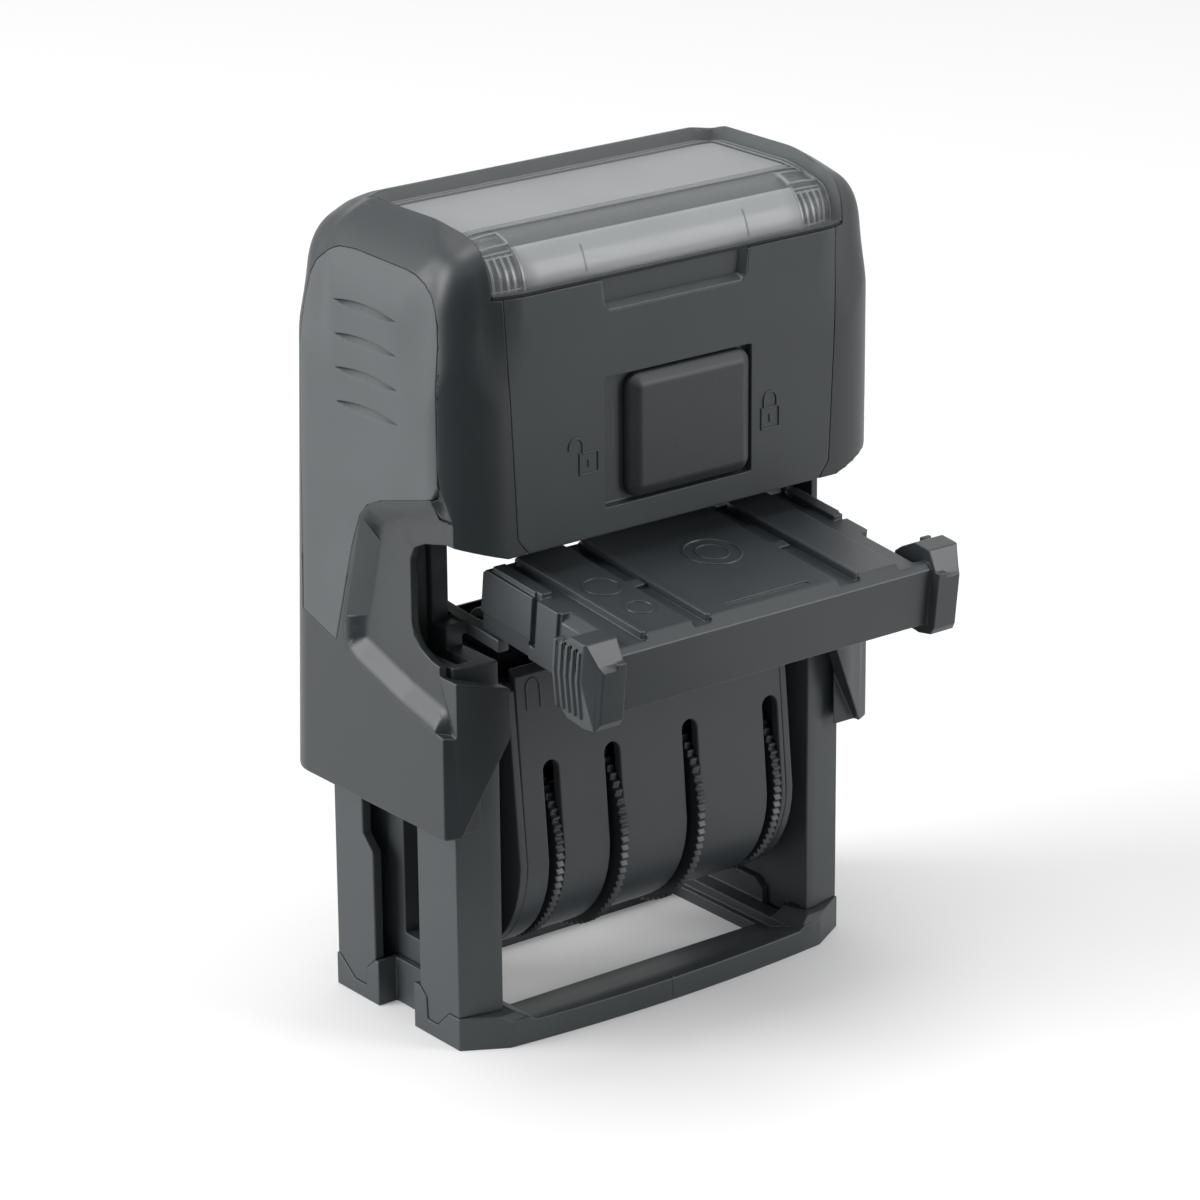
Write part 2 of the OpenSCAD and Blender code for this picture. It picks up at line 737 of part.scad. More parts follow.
module lock_button() {
    face_y = -cap_hd - button_proud;
    seat_y = -cap_hd + recess_d - 0.05;
    skirt = 0.7;
    color("#43484b") union() {
        hull()
            for (x = [0, 1], z = [0, 1]) {
                inward = [1 - 2 * x, 0, 1 - 2 * z];
                corner = [button_x[x], 0, button_z[z]] + button_round * inward;
                translate(corner + [0, seat_y, 0]) rotate([90, 0, 0])
                    cylinder(r = button_round, h = skirt, $fn = 32);
                translate(corner + [0, face_y + eps, 0]) rotate([90, 0, 0])
                    cylinder(r = button_round - button_bevel, h = eps, $fn = 32);
            }
        block([neck_x[0], seat_y - eps, neck_z[0]], [neck_x[1], latch_y, neck_z[1]]);
    }
}

module lock_latch() {
    tooth_x = [0.2, neck_x[1] - 1];
    tooth_z = [neck_z[0] + 0.4, neck_z[1] - 0.6];
    margin = [3, 1.6];
    color("#3c4144") union() {
        block([neck_x[0] - margin[0], latch_y, neck_z[0] - margin[1]],
              [neck_x[1] + margin[0], latch_y + latch_t, neck_z[1] + margin[1]]);
        block([tooth_x[0], latch_y, tooth_z[0]], [tooth_x[1], catch_y + catch_t - 0.3, tooth_z[1]]);
    }
}

// Lift arms

module lift_arm() {
    boss_r = pin_r + 1.2;
    arm_hw = 2.6;
    arm_top = roof_z - 3.4;
    difference() {
        along_x(channel_in + arm_gap, channel_out - arm_gap) union() {
            translate([0, pivot_z]) circle(r = boss_r);
            translate([-arm_hw, pivot_z]) square([arm_hw * 2, arm_top - pivot_z]);
        }
        translate([0, 0, pivot_z]) rotate([0, 90, 0]) cylinder(r = pin_r + fit, h = far);
    }
}

module right_lift_arm() {
    color("#777c7f") lift_arm();
}

module left_lift_arm() {
    color("#777c7f") mirror([1, 0, 0]) lift_arm();
}

// Date unit

// Outline of the date unit from the side, drawn in by d and cut at a height
function dater_outline(d, top) = concat(
    arc([0, shaft_z], drum_r - d, 180, 360, 24),
    [[drum_r - cover_lean - d, top - cover_bevel], [drum_r - cover_lean - cover_bevel - d, top],
     [-drum_r + cover_lean + cover_bevel + d, top], [-drum_r + cover_lean + d, top - cover_bevel]]
);

module dater_cheek() {
    difference() {
        union() {
            along_x(dater_in, dater_out) polygon(dater_outline(0, cheek_top));
            translate([dater_out - eps, 0, pivot_z]) rotate([0, 90, 0])
                cylinder(r = pin_r, h = channel_out - arm_gap - dater_out);
        }
        translate([0, 0, shaft_z]) rotate([0, 90, 0]) cylinder(r = shaft_r + fit, h = far);
    }
}

module right_dater_cheek() {
    color("#63686b") dater_cheek();
}

module left_dater_cheek() {
    color("#63686b") mirror([1, 0, 0]) dater_cheek();
}

module dater_cover() {
    color("#565b5e") difference() {
        along_x(-dater_in, dater_in) polygon(dater_outline(0, cover_top));
        along_x(-far, far) polygon(concat(
            arc([0, shaft_z], drum_r - cover_t, 180, 360, 24),
            [[drum_r - cover_lean - cover_t, cover_top + 1], [-drum_r + cover_lean + cover_t, cover_top + 1]]));
        for (x = rim_x)
            translate([x + rim_t / 2 + side_gap - drum_slot_w, 0, 0]) {
                block([0, -far, 0], [drum_slot_w, far, drum_slot_top - drum_slot_w / 2]);
                translate([drum_slot_w / 2, 0, drum_slot_top - drum_slot_w / 2]) rotate([90, 0, 0])
                    cylinder(d = drum_slot_w, h = far * 2, center = true);
            }
    }
}

module wheel_shaft() {
    color("silver") translate([-dater_out, 0, shaft_z]) rotate([0, 90, 0])
        cylinder(r = shaft_r, h = dater_out * 2);
}

module print_bridge() {
    corner = bridge_corner;
    hw = hub_r + band_gap - 0.05;
    color("#7c8082") along_x(-dater_in, dater_in) polygon(concat(
        [[-hw, bridge_low], [hw, bridge_low]],
        arc([hw - corner, bridge_top - corner], corner, 0, 90, 6),
        arc([-hw + corner, bridge_top - corner], corner, 90, 180, 6)));
}

// Left end of a wheel's hub
function hub_left(i) = (i == 0 ? -dater_in : rim_x[i - 1] + rim_t / 2) + side_gap;

module setting_wheel(i) {
    r = wheel_radii[i];
    rim_left = rim_x[i] - rim_t / 2;
    rim_right = rim_x[i] + rim_t / 2;
    end = i == 3 ? dater_in - side_gap : rim_right;
    difference() {
        union() {
            along_x(rim_left, rim_right) polygon([for (k = [0:rim_teeth * 2 - 1])
                let (a = 180 * k / rim_teeth, q = k % 2 == 0 ? r : r - tooth_h)
                [q * cos(a), shaft_z + q * sin(a)]]);
            translate([hub_left(i), 0, shaft_z]) rotate([0, 90, 0])
                cylinder(r = hub_r, h = rim_left - hub_left(i) + eps);
            translate([rim_x[i], 0, shaft_z]) rotate([0, 90, 0])
                cylinder(r = shaft_r + 1.2, h = end - rim_x[i]);
        }
        translate([-far, 0, shaft_z]) rotate([0, 90, 0]) cylinder(r = shaft_r + fit, h = far * 2);
    }
}

module day_tens_wheel() {
    color("#5f6366") setting_wheel(0);
}

module day_units_wheel() {
    color("#5f6366") setting_wheel(1);
}

module month_wheel() {
    color("#5f6366") setting_wheel(2);
}

module year_wheel() {
    color("#5f6366") setting_wheel(3);
}

// Outline of a band's loop at radius r round the hub and a height at the print face
function band_loop(r, top, corner) = concat(
    arc([0, shaft_z], r, 180, 360, 16),
    arc([r - corner, top - corner], corner, 0, 90, 6),
    arc([-r + corner, top - corner], corner, 90, 180, 6)
);

module band(i) {
    x1 = rim_x[i] - rim_t / 2 - band_rim_gap;
    x0 = x1 - band_w[i];
    edge = 0.25;
    type_zs = [for (k = [1:3]) print_face_z - figure_h * 1.4 * k];
    difference() {
        along_x(x0, x1) polygon(band_loop(band_out, band_top, bridge_corner + band_t));
        along_x(x0 - 1, x1 + 1) polygon(band_loop(band_in, band_top - band_t, bridge_corner));
    }
    block([x0 + edge, -figure_h / 2, band_top - eps], [x1 - edge, figure_h / 2, print_face_z]);
    for (z = type_zs)
        for (side = [-1, 1])
            translate([0, side * band_out, z]) block(
                [x0 + edge, side > 0 ? -eps : -type_h, -figure_h / 2],
                [x1 - edge, side > 0 ? type_h : eps, figure_h / 2]);
}

module day_tens_band() {
    color("#3a3a3c") band(0);
}

module day_units_band() {
    color("#3a3a3c") band(1);
}

module month_band() {
    color("#3a3a3c") band(2);
}

module year_band() {
    color("#3a3a3c") band(3);
}

// Ink cartridge

// A finger grip from the front, grown by d on its outside, which leans in towards its lower end
function grip_front(d) = [
    [grip_root, -far], [grip_out - 0.7 + d, -far], [grip_out - 0.7 + d, -tray_h - 1.1],
    [grip_out + d, -tray_h + 3.3], [grip_out + d, far], [grip_root, far]
];

// Outline of a finger grip from the side
function grip_side() =
    let (f = grip_b[0], r = grip_b[1], low = -tray_h - 1.2) [
        [r, -0.1], [r - 0.8, 0.6], [r - 2.4, 1.6], [f + 1.6, 1.6], [f + 0.5, -0.1], [f, -0.6],
        [f, low + 1.1], [f + 0.4, low + 0.4], [f + 1.9, low], [r - 1.8, low + 0.1], [r - 0.6, low + 1],
        [r, low + 1.9]
    ];

// A finger grip of the tray, drawn on the right in the cartridge's frame
module finger_grip() {
    rib = 0.2;
    pitch = grip_l * 2 / 15;
    f = grip_b[0];
    r = grip_b[1];
    intersection() {
        along_x(grip_root, grip_out) polygon(grip_side());
        translate([0, 0, -far]) linear_extrude(far * 2) polygon([
            [grip_root, f], [grip_out - 0.9, f], [grip_out, f + 1.8], [grip_out, r - 0.2], [grip_root, r + 0.7]
        ]);
        along_y(-far, far) polygon(grip_front(0));
    }
    block([grip_root, f, -tray_h + 0.9], [cart_hw + 1, f + 1.5, -0.1]);
    // Ribs for the finger
    intersection() {
        for (k = [0:4])
            block([grip_out - 0.9, f + 2 + pitch * k, -tray_h - 0.3],
                  [grip_out + rib, f + 2 + pitch * (k + 0.5), 0.8]);
        along_y(-far, far) polygon(grip_front(rib));
    }
}

// Outline of the tray from the side, up to a height over its front edge
function tray_side(top) =
    let (b = top / lid_h) [
        [0, -tray_h], [0, 0], [b, top], [cart_l - 0.4, top], [cart_l, top - 0.4], [cart_l, -tray_h]
    ];

module ink_tray() {
    rib_w = 0.5;
    plate_hw = cart_hw - plate_side;
    roof = pad_roof;
    end_wall = pad_end_wall;
    chamfer = 0.9;
    color("#303436") cart_frame() difference() {
        union() {
            difference() {
                union() {
                    along_x(-cart_hw, cart_hw) polygon(tray_side(lid_low));
                    // Raised plates of the lid, with a rib along the left of each
                    difference() {
                        along_x(-plate_hw, plate_hw) polygon(tray_side(lid_h));
                        for (gap = plate_gaps)
                            block([gap[0], -1, lid_low], [gap[1], far, far]);
                    }
                    for (x = [-plate_hw, plate_gaps[0][1], plate_gaps[1][1]])
                        block([x - rib_w, 0.9, lid_low - eps], [x, cart_l - 1, lid_h + lid_rib]);
                    // Small blocks in the gaps
                    for (gap = plate_gaps)
                        block([gap[0] - eps, cart_l / 2 - 0.8, lid_low - eps],
                              [gap[0] + 1.3, cart_l / 2 + 0.4, lid_h]);
                    // Rims along both sides, behind the chamfered corners
                    on_both_sides()
                        block([cart_hw - 1.6, groove_b, lid_low - eps], [cart_hw - 0.3, cart_l - 1, lid_h]);
                }
                // Sides set in behind the grips, and chamfered
                on_both_sides() {
                    block([cart_hw - side_inset, grip_b[1], -tray_h - 1], [far, groove_b - 2.9, far]);
                    along_y(1.2, groove_b - 3.2) polygon([
                        [cart_hw - side_inset - chamfer, lid_low], [far, lid_low + far],
                        [far, lid_low - chamfer], [cart_hw - side_inset, lid_low - chamfer]
                    ]);
                }
            }
            on_both_sides() finger_grip();
        }
        // Slot in the middle plate
        block([-4.3, 1.75, lid_h - 0.25], [4.8, 2.25, far]);
        // Cavity of the pad
        block([-cart_hw + tray_wall, end_wall, -far], [cart_hw - tray_wall, cart_l - end_wall, -roof]);
        // Groove down each side, and the latch that it frees
        on_both_sides() block([cart_hw - 0.5, groove_b, -tray_h + 1.3], [far, groove_b + 0.7, far]);
        on_both_sides()
            block([cart_hw - 0.3, groove_b + 0.8, -tray_h - 1], [far, cart_l + 1, -tray_h + 1.7]);
    }
}

module ink_pad() {
    gap = 0.2;
    roof = pad_roof;
    end_wall = pad_end_wall;
    color("#1c1d1f") cart_frame()
        block([-cart_hw + tray_wall + gap, end_wall + gap, -tray_h + 0.4],
              [cart_hw - tray_wall - gap, cart_l - end_wall - gap, -roof]);
}

foot_ring();
left_column();
right_column();
chassis_bridge();
left_return_spring();
right_return_spring();
cap_shell();
front_panel();
left_grip_insert();
right_grip_insert();
index_card();
clear_cover();
lock_button();
lock_latch();
left_lift_arm();
right_lift_arm();
left_dater_cheek();
right_dater_cheek();
dater_cover();
wheel_shaft();
print_bridge();
day_tens_wheel();
day_units_wheel();
month_wheel();
year_wheel();
day_tens_band();
day_units_band();
month_band();
year_band();
ink_tray();
ink_pad();
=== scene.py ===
"""Looks of the date stamp.

Softened skins over the CAD nodes, fine detail, materials, light and camera.
"""
import json
import math

import bmesh
import bpy
import numpy as np
from mathutils import Matrix, Vector


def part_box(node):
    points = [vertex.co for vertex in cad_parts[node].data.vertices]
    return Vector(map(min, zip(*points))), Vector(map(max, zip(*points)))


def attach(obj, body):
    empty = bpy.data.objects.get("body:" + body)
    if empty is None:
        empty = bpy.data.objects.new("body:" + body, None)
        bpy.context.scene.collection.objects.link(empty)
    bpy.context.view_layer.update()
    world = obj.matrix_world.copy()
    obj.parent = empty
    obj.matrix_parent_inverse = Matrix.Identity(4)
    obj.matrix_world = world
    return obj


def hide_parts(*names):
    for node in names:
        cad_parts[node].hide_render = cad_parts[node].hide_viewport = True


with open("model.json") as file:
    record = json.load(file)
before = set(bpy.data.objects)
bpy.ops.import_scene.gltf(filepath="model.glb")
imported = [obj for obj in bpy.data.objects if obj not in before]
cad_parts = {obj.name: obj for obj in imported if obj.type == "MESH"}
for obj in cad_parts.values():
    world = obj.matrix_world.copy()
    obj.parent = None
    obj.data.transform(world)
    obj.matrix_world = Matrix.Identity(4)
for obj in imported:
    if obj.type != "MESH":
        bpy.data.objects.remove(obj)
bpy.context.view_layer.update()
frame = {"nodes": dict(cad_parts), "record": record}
MM = 0.001
NODES = frame["nodes"]
BODIES = frame["record"]["behaviour"]["bodies"]
BODY_OF = {node: body for body, members in BODIES.items() for node in members}
SLOT_OF = {part["node"]: part["material_slot"] for part in frame["record"]["subparts"]}


def corners(node):
    """Lowest and highest corner of a CAD node, in millimetres."""
    low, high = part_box(node)
    return np.array(low) / MM, np.array(high) / MM


# Camera, fitted to the photograph
CAM_AZIMUTH = math.radians(37.686)
CAM_ELEVATION = math.radians(19.881)
CAM_ROLL = math.radians(-0.459)
CAM_TARGET = Vector((0, 0, 38 * MM))
CAM_DISTANCE = 430 * MM
CAM_ASIDE = Vector((-1.176 * MM, 2.81 * MM))
CAM_LENS = 142.89
CAM_SENSOR = 36
CAM_NEAR, CAM_FAR = 0.01, 20


def add_camera():
    sin_a, cos_a = math.sin(CAM_AZIMUTH), math.cos(CAM_AZIMUTH)
    sin_e, cos_e = math.sin(CAM_ELEVATION), math.cos(CAM_ELEVATION)
    back = Vector((-sin_a * cos_e, -cos_a * cos_e, sin_e))
    right = Vector((cos_a, -sin_a, 0))
    up = back.cross(right)
    sin_r, cos_r = math.sin(CAM_ROLL), math.cos(CAM_ROLL)
    right, up = right * cos_r + up * sin_r, up * cos_r - right * sin_r
    data = bpy.data.cameras.new("camera")
    data.lens = CAM_LENS
    data.sensor_width = CAM_SENSOR
    data.clip_start = CAM_NEAR
    data.clip_end = CAM_FAR
    camera = bpy.data.objects.new("camera", data)
    eye = CAM_TARGET + back * CAM_DISTANCE - right * CAM_ASIDE.x - up * CAM_ASIDE.y
    camera.matrix_world = Matrix.Translation(eye) @ Matrix((right, up, back)).transposed().to_4x4()
    bpy.context.scene.collection.objects.link(camera)
    bpy.context.scene.camera = camera


# Soft form of the cap, in millimetres. It's the cap's creased form with its roundings run
# into each other. Distances are negative inside.

CAP_LOW, CAP_HIGH = corners("cap_shell")
COVER_HALF, COVER_REAR, _ = corners("clear_cover")[1]
CAP_HALF = CAP_HIGH[0]
CAP_TOP = CAP_HIGH[2]
CAP_FRONT = CAP_LOW[1]
CHEEK_LOW = CAP_LOW[2]
REAR_LOW = CAP_HIGH[1]
REAR_SLOPE = math.tan(math.radians(2.7))
SIDE_ROUND = 10.3
SIDE_RISE = 8.6
FRONT_ROUND = 5.65
REAR_ROUND = 6.8
FRONT_CORNER = (5.72, 4.0)
REAR_CORNER = 4.0
BLEND = 3.0
LEAST_BLEND = 0.001
# Where the blend comes in from each side of the cap: the depth where it is full, and the
# length over which it grows
SIDE_FADE = (3.72, 4)
TOP_FADE = (6.6, 9)
FRONT_FADE = (3.65, 5)
REAR_FADE = (4.8, 3)
SLOPE_STEP = 0.02
TINY = 1e-6

# Only what is above this height is softened
SPLIT_Z = corners("front_panel")[0][2] - 4.5
# How deep the softening reaches, and the length over which it ends
SKIN_DEPTH = 3.6
SKIN_FADE = 1.0
# Points this close to the outside count as on it
SNAP_DEPTH = 0.06
# A face follows the form when the depths of its corners differ by less
LEVEL_SPREAD = 0.2
SOFTEN_ROUNDS = 7
REFINE_ROUNDS = 7
MAX_CHORD_ERROR = 0.012
MIN_EDGE = 0.3


def smooth_step(t):
    t = np.clip(t, 0, 1)
    return t * t * (3 - 2 * t)


def blended_max(a, b, k):
    h = np.maximum(k - np.abs(a - b), 0) / k
    return np.maximum(a, b) + h * h * k / 4


def oval_corner(u, v, ru, rv):
    """Distance from a quarter-oval corner between the sides u = 0 and v = 0."""
    s = np.maximum(u + ru, 0) / ru
    t = np.maximum(v + rv, 0) / rv
    reach = np.hypot(s, t)
    radius = np.hypot(s * ru, t * rv) / np.maximum(reach, TINY)
    return np.where((s > 0) & (t > 0), (reach - 1) * radius, np.maximum(u, v))


def fade_in(distance, fade):
    full, length = fade
    return smooth_step((distance + full) / length + 1)


def cap_distance(points, blend):
    """Distance from the cap's outside, where its roundings meet with a blend of that size."""
    x, y, z = np.abs(points[:, 0]), points[:, 1], points[:, 2]
    side = x - CAP_HALF
    top = z - CAP_TOP
    front = CAP_FRONT - y
    rear = y - REAR_LOW + REAR_SLOPE * (z - CHEEK_LOW)
    cx, cz = CAP_HALF - SIDE_ROUND, CAP_TOP - SIDE_RISE
    shoulder = np.hypot(np.maximum(x - cx, 0), np.maximum(z - cz, 0)) - SIDE_ROUND
    across = np.maximum(np.where((x > cx) & (z > cz), shoulder, side), top)
    along = np.maximum(oval_corner(front, top, FRONT_ROUND, FRONT_ROUND),
                       oval_corner(rear, top, REAR_ROUND, REAR_ROUND))
    plan = np.maximum(oval_corner(side, front, *FRONT_CORNER),
                      oval_corner(side, rear, REAR_CORNER, REAR_CORNER))
    where = fade_in(side, SIDE_FADE) * fade_in(top, TOP_FADE)
    where = where * np.maximum(fade_in(front, FRONT_FADE), fade_in(rear, REAR_FADE))
    k = LEAST_BLEND + blend * where
    return blended_max(blended_max(across, along, k), plan, k)


def slope_of(points):
    """Slope of the distance from the soft form along each axis."""
    slopes = []
    for axis in np.eye(3):
        ahead = cap_distance(points + axis * SLOPE_STEP, BLEND)
        behind = cap_distance(points - axis * SLOPE_STEP, BLEND)
        slopes.append((ahead - behind) / (2 * SLOPE_STEP))
    return np.stack(slopes, 1)


# The waist is set in below the side grips. Its edge is a soft slope in the mould, and a step
# in the CAD.
WAIST_DEPTH = 1.1
WAIST_SLOPE = 2.3
WAIST_FRONT_FADE = 0.9
WAIST_FROM_FRONT = 1.6
WAIST_EDGE = (
    (-9.7, 52.2), (-2.2, 50.2), (-0.2, 49.3), (0.9, 48.1), (3.6, 38.1), (3.8, 35.7), (3.2, 34.9),
    (2.2, 34.3), (-4.5, 32.2), (-9.2, 31.1), (-16, 29.53),
)
WAIST_LOOP = ((-40, 52.2), *WAIST_EDGE, (-40, 24))
# The seat that the grip lies in stays flat
GRIP_SEAT = 0.8
GRIP_END_Z = 48.0
SEAT_TOLERANCE = 0.12
EDGE_TOLERANCE = 0.05
OUTSIDE_TOLERANCE = 0.03
# The cheeks' front corners are cut straight
CHEEK_CORNER_DEPTH = 2.2
CHEEK_CORNER_SLOPE = 2
CHEEK_CORNER_WIDTH = 3


def waist_distance(y, z):
    """Distance in from the waist's edge, negative outside it."""
    near = np.full(len(y), np.inf)
    for (y0, z0), (y1, z1) in zip(WAIST_EDGE, WAIST_EDGE[1:]):
        dy, dz = y1 - y0, z1 - z0
        t = np.clip(((y - y0) * dy + (z - z0) * dz) / (dy * dy + dz * dz), 0, 1)
        near = np.minimum(near, np.hypot(y - y0 - t * dy, z - z0 - t * dz))
    inside = np.zeros(len(y), bool)
    for (y0, z0), (y1, z1) in zip(WAIST_LOOP, WAIST_LOOP[1:] + WAIST_LOOP[:1]):
        if z0 != z1:
            crossed = ((z0 > z) != (z1 > z)) & (y < y0 + (z - z0) / (z1 - z0) * (y1 - y0))
            inside = inside ^ crossed
    return np.where(inside, near, -near)


def corner_inset(y, z):
    """How far the cap's front corners are drawn in from its sides."""
    width, depth = FRONT_CORNER
    share = np.clip((CAP_FRONT + depth - y) / depth, 0, 1)
    upper = width * (1 - np.sqrt(1 - share * share))
    cut = (CAP_FRONT + CHEEK_CORNER_DEPTH - y) * CHEEK_CORNER_SLOPE
    return np.where(z > SPLIT_Z, upper, np.clip(cut, 0, CHEEK_CORNER_WIDTH))


def slope_waist(points, moved):
    """Turns the step round the waist into a soft slope. Also says which points lie on it."""
    y, z = points[:, 1], points[:, 2]
    inset = corner_inset(y, z)
    depth = CAP_HALF - np.abs(points[:, 0])
    away = waist_distance(y, z)
    seat = np.abs(depth - GRIP_SEAT) < SEAT_TOLERANCE
    seat = seat & (away < EDGE_TOLERANCE) & (z > GRIP_END_Z)
    near = (away > -OUTSIDE_TOLERANCE) & (away < WAIST_SLOPE)
    near = near & (depth < WAIST_DEPTH + EDGE_TOLERANCE) & (depth > inset)
    near = near & (y > CAP_FRONT + WAIST_FROM_FRONT) & ~seat
    raised = 1 - smooth_step(away / WAIST_SLOPE)
    raised = raised * np.clip((y - WAIST_EDGE[0][0]) / WAIST_FRONT_FADE + 1, 0, 1)
    goal = inset + (depth - inset) * (1 - raised)
    sloped = moved.copy()
    sloped[:, 0] = np.where(near, np.sign(points[:, 0]) * (CAP_HALF - goal), moved[:, 0])
    return sloped, near


# Lens-shaped grooves of the side grips. Their floor slopes out to the lower edge.
GROOVES = 4
GROOVE_TOP_Z = CAP_TOP - 8.2
GROOVE_PITCH = 3.05
GROOVE_Y = -0.5
GROOVE_R = 22
GROOVE_HALF = 0.5
GROOVE_DEPTH = 0.3
GROOVE_SUNK = 0.6
GROOVE_TOLERANCE = 0.01
WALL_TOLERANCE = 0.1


def in_groove(points):
    """Which points lie in a groove's outline, and how far up it each lies, from 0 to 1."""
    y, z = points[:, 1], points[:, 2]
    half = np.sqrt(np.maximum(GROOVE_R ** 2 - (y - GROOVE_Y) ** 2, 0)) - GROOVE_R + GROOVE_HALF
    found = np.zeros(len(points), bool)
    share = np.zeros(len(points))
    for k in range(GROOVES):
        above = z - (GROOVE_TOP_Z - GROOVE_PITCH * k)
        near = (half > -GROOVE_TOLERANCE) & (np.abs(above) < half + 2 * GROOVE_TOLERANCE)
        height = np.maximum(2 * half, GROOVE_TOLERANCE)
        share = np.where(near, np.clip((above + half) / height, 0, 1), share)
        found |= near
    side = CAP_HALF - np.abs(points[:, 0])
    return found & (side < GROOVE_DEPTH + WALL_TOLERANCE), share


def slope_grooves(points, moved):
    """Slopes the floor of each groove. Also says which points lie on it."""
    near, share = in_groove(points)
    depth = -cap_distance(points, 0)
    near = near & (depth > GROOVE_DEPTH / 2)
    sloped = moved.copy()
    raised = np.sign(points[:, 0]) * (depth - GROOVE_SUNK * share)
    sloped[:, 0] = np.where(near, moved[:, 0] + raised, moved[:, 0])
    return sloped, near


def on_slopes(points, moved, kind):
    """The slopes of one kind of cap piece: its waist, its grooves or none."""
    if kind == "waist":
        return slope_waist(points, moved)
    if kind == "grooves":
        return slope_grooves(points, moved)
    return moved, np.zeros(len(points), bool)


def soften(points, kind="plain"):
    """Moves points near the cap's outside from its creased form to its blended one."""
    goal = cap_distance(points, 0)
    share = np.clip((goal + SKIN_DEPTH) / SKIN_FADE, 0, 1)[:, None]
    share = np.where(points[:, 2:3] > SPLIT_Z, share, 0)
    goal = np.where(goal > -SNAP_DEPTH, 0, goal)
    moved = points.copy()
    for _ in range(SOFTEN_ROUNDS):
        slope = slope_of(moved)
        gap = cap_distance(moved, BLEND) - goal
        moved = moved - slope * (gap / np.maximum((slope * slope).sum(1), TINY))[:, None]
    moved = points + (moved - points) * share
    return on_slopes(points, moved, kind)[0]


def coordinates(part):
    """Places of the corners of a mesh, a face or an edge, in millimetres."""
    return np.array([v.co[:] for v in part.verts]) / MM


def refine(shape, kind):
    """Splits edges until the softened mesh follows the soft form closely."""
    for _ in range(REFINE_ROUNDS):
        bmesh.ops.triangulate(shape, faces=shape.faces)
        shape.verts.index_update()
        points = coordinates(shape)
        soft = soften(points, kind)
        edges = list(shape.edges)
        ends = np.array([[e.verts[0].index, e.verts[1].index] for e in edges])
        first, second = ends[:, 0], ends[:, 1]
        middle = (points[first] + points[second]) / 2
        chord = (soft[first] + soft[second]) / 2
        sag = np.linalg.norm(soften(middle, kind) - chord, axis=1)
        long = np.linalg.norm(points[first] - points[second], axis=1) > MIN_EDGE
        chosen = np.nonzero((sag > MAX_CHORD_ERROR) & long)[0]
        if len(chosen) == 0:
            break
        bmesh.ops.subdivide_edges(shape, edges=[edges[i] for i in chosen], cuts=1)
    bmesh.ops.triangulate(shape, faces=shape.faces)


# Meshes: how close points are joined, in millimetres, and at which angles edges are flat,
# rounded or sharp
MERGE_MM = 0.002
SLOPE_MERGE_MM = 0.004
FLAT_ANGLE = math.radians(1)
BEVEL_ANGLE = math.radians(28)
CREASE_ANGLE = math.radians(32)
BEVEL_SEGMENTS = 2
BEVEL_PROFILE = 0.6
BEVEL_SPREAD_MM = 0.05
# A facet of the cap's corner runs close beside the top window
WINDOW_SIDE = COVER_HALF + 0.1
WINDOW_TOLERANCE = 0.03
# A face follows the form's normals when they agree this well with its own
ALIGNED = 0.8
# A slope's faces that look to the side this much share their normals with the faces around
FACING_SIDE = 0.6
# Level faces on the outside below this many square millimetres follow it however they are turned
SLIVER_AREA = 0.02


def is_level(depths):
    """Whether a face with its corners at those depths follows the cap's form."""
    return depths.max() - depths.min() < LEVEL_SPREAD and depths.max() > -SKIN_DEPTH


def at_window_side(edge):
    return all(abs(abs(v.co.x) / MM - WINDOW_SIDE) < WINDOW_TOLERANCE for v in edge.verts)


def at_groove(edge):
    return in_groove(coordinates(edge))[0].all()


def edges_to_round(shape, kind):
    """The sharp edges of a cap piece, apart from those within its soft outside."""
    level = {face: is_level(cap_distance(coordinates(face), 0)) for face in shape.faces}
    return [e for e in shape.edges if len(e.link_faces) == 2
            and e.calc_face_angle(0) > BEVEL_ANGLE
            and not all(level[f] for f in e.link_faces)
            and not at_window_side(e) and not (kind == "grooves" and at_groove(e))]


def corner_normals(shape, depth, on_slope, rounded):
    """A normal for each corner of each face. Zero leaves it to the faces around."""
    form = slope_of(coordinates(shape))
    form /= np.maximum(np.linalg.norm(form, axis=1), TINY)[:, None]
    found = []
    for face in shape.faces:
        ids = [v.index for v in face.verts]
        own = np.array(face.normal[:])
        facing = form[ids] @ own
        aligned = np.abs(facing).min() > ALIGNED
        outer = depth[ids].max() > -LEVEL_SPREAD
        sliver = outer and face.calc_area() < SLIVER_AREA * MM * MM
        sign = 1 if outer else np.sign(facing.mean())
        sloping = on_slope[ids].any()
        follows = is_level(depth[ids]) and (aligned or sliver)
        for i in ids:
            if follows and not sloping and not face[rounded]:
                found.append(tuple(form[i] * sign))
            elif face[rounded] or (sloping and abs(own[0]) > FACING_SIDE):
                found.append((0.0, 0.0, 0.0))
            else:
                found.append(tuple(own))
    return found


def join_and_flatten(shape):
    """Joins doubled points and merges faces that lie in one plane."""
    bmesh.ops.remove_doubles(shape, verts=shape.verts, dist=MERGE_MM * MM)
    bmesh.ops.dissolve_limit(shape, angle_limit=FLAT_ANGLE, verts=shape.verts, edges=shape.edges)


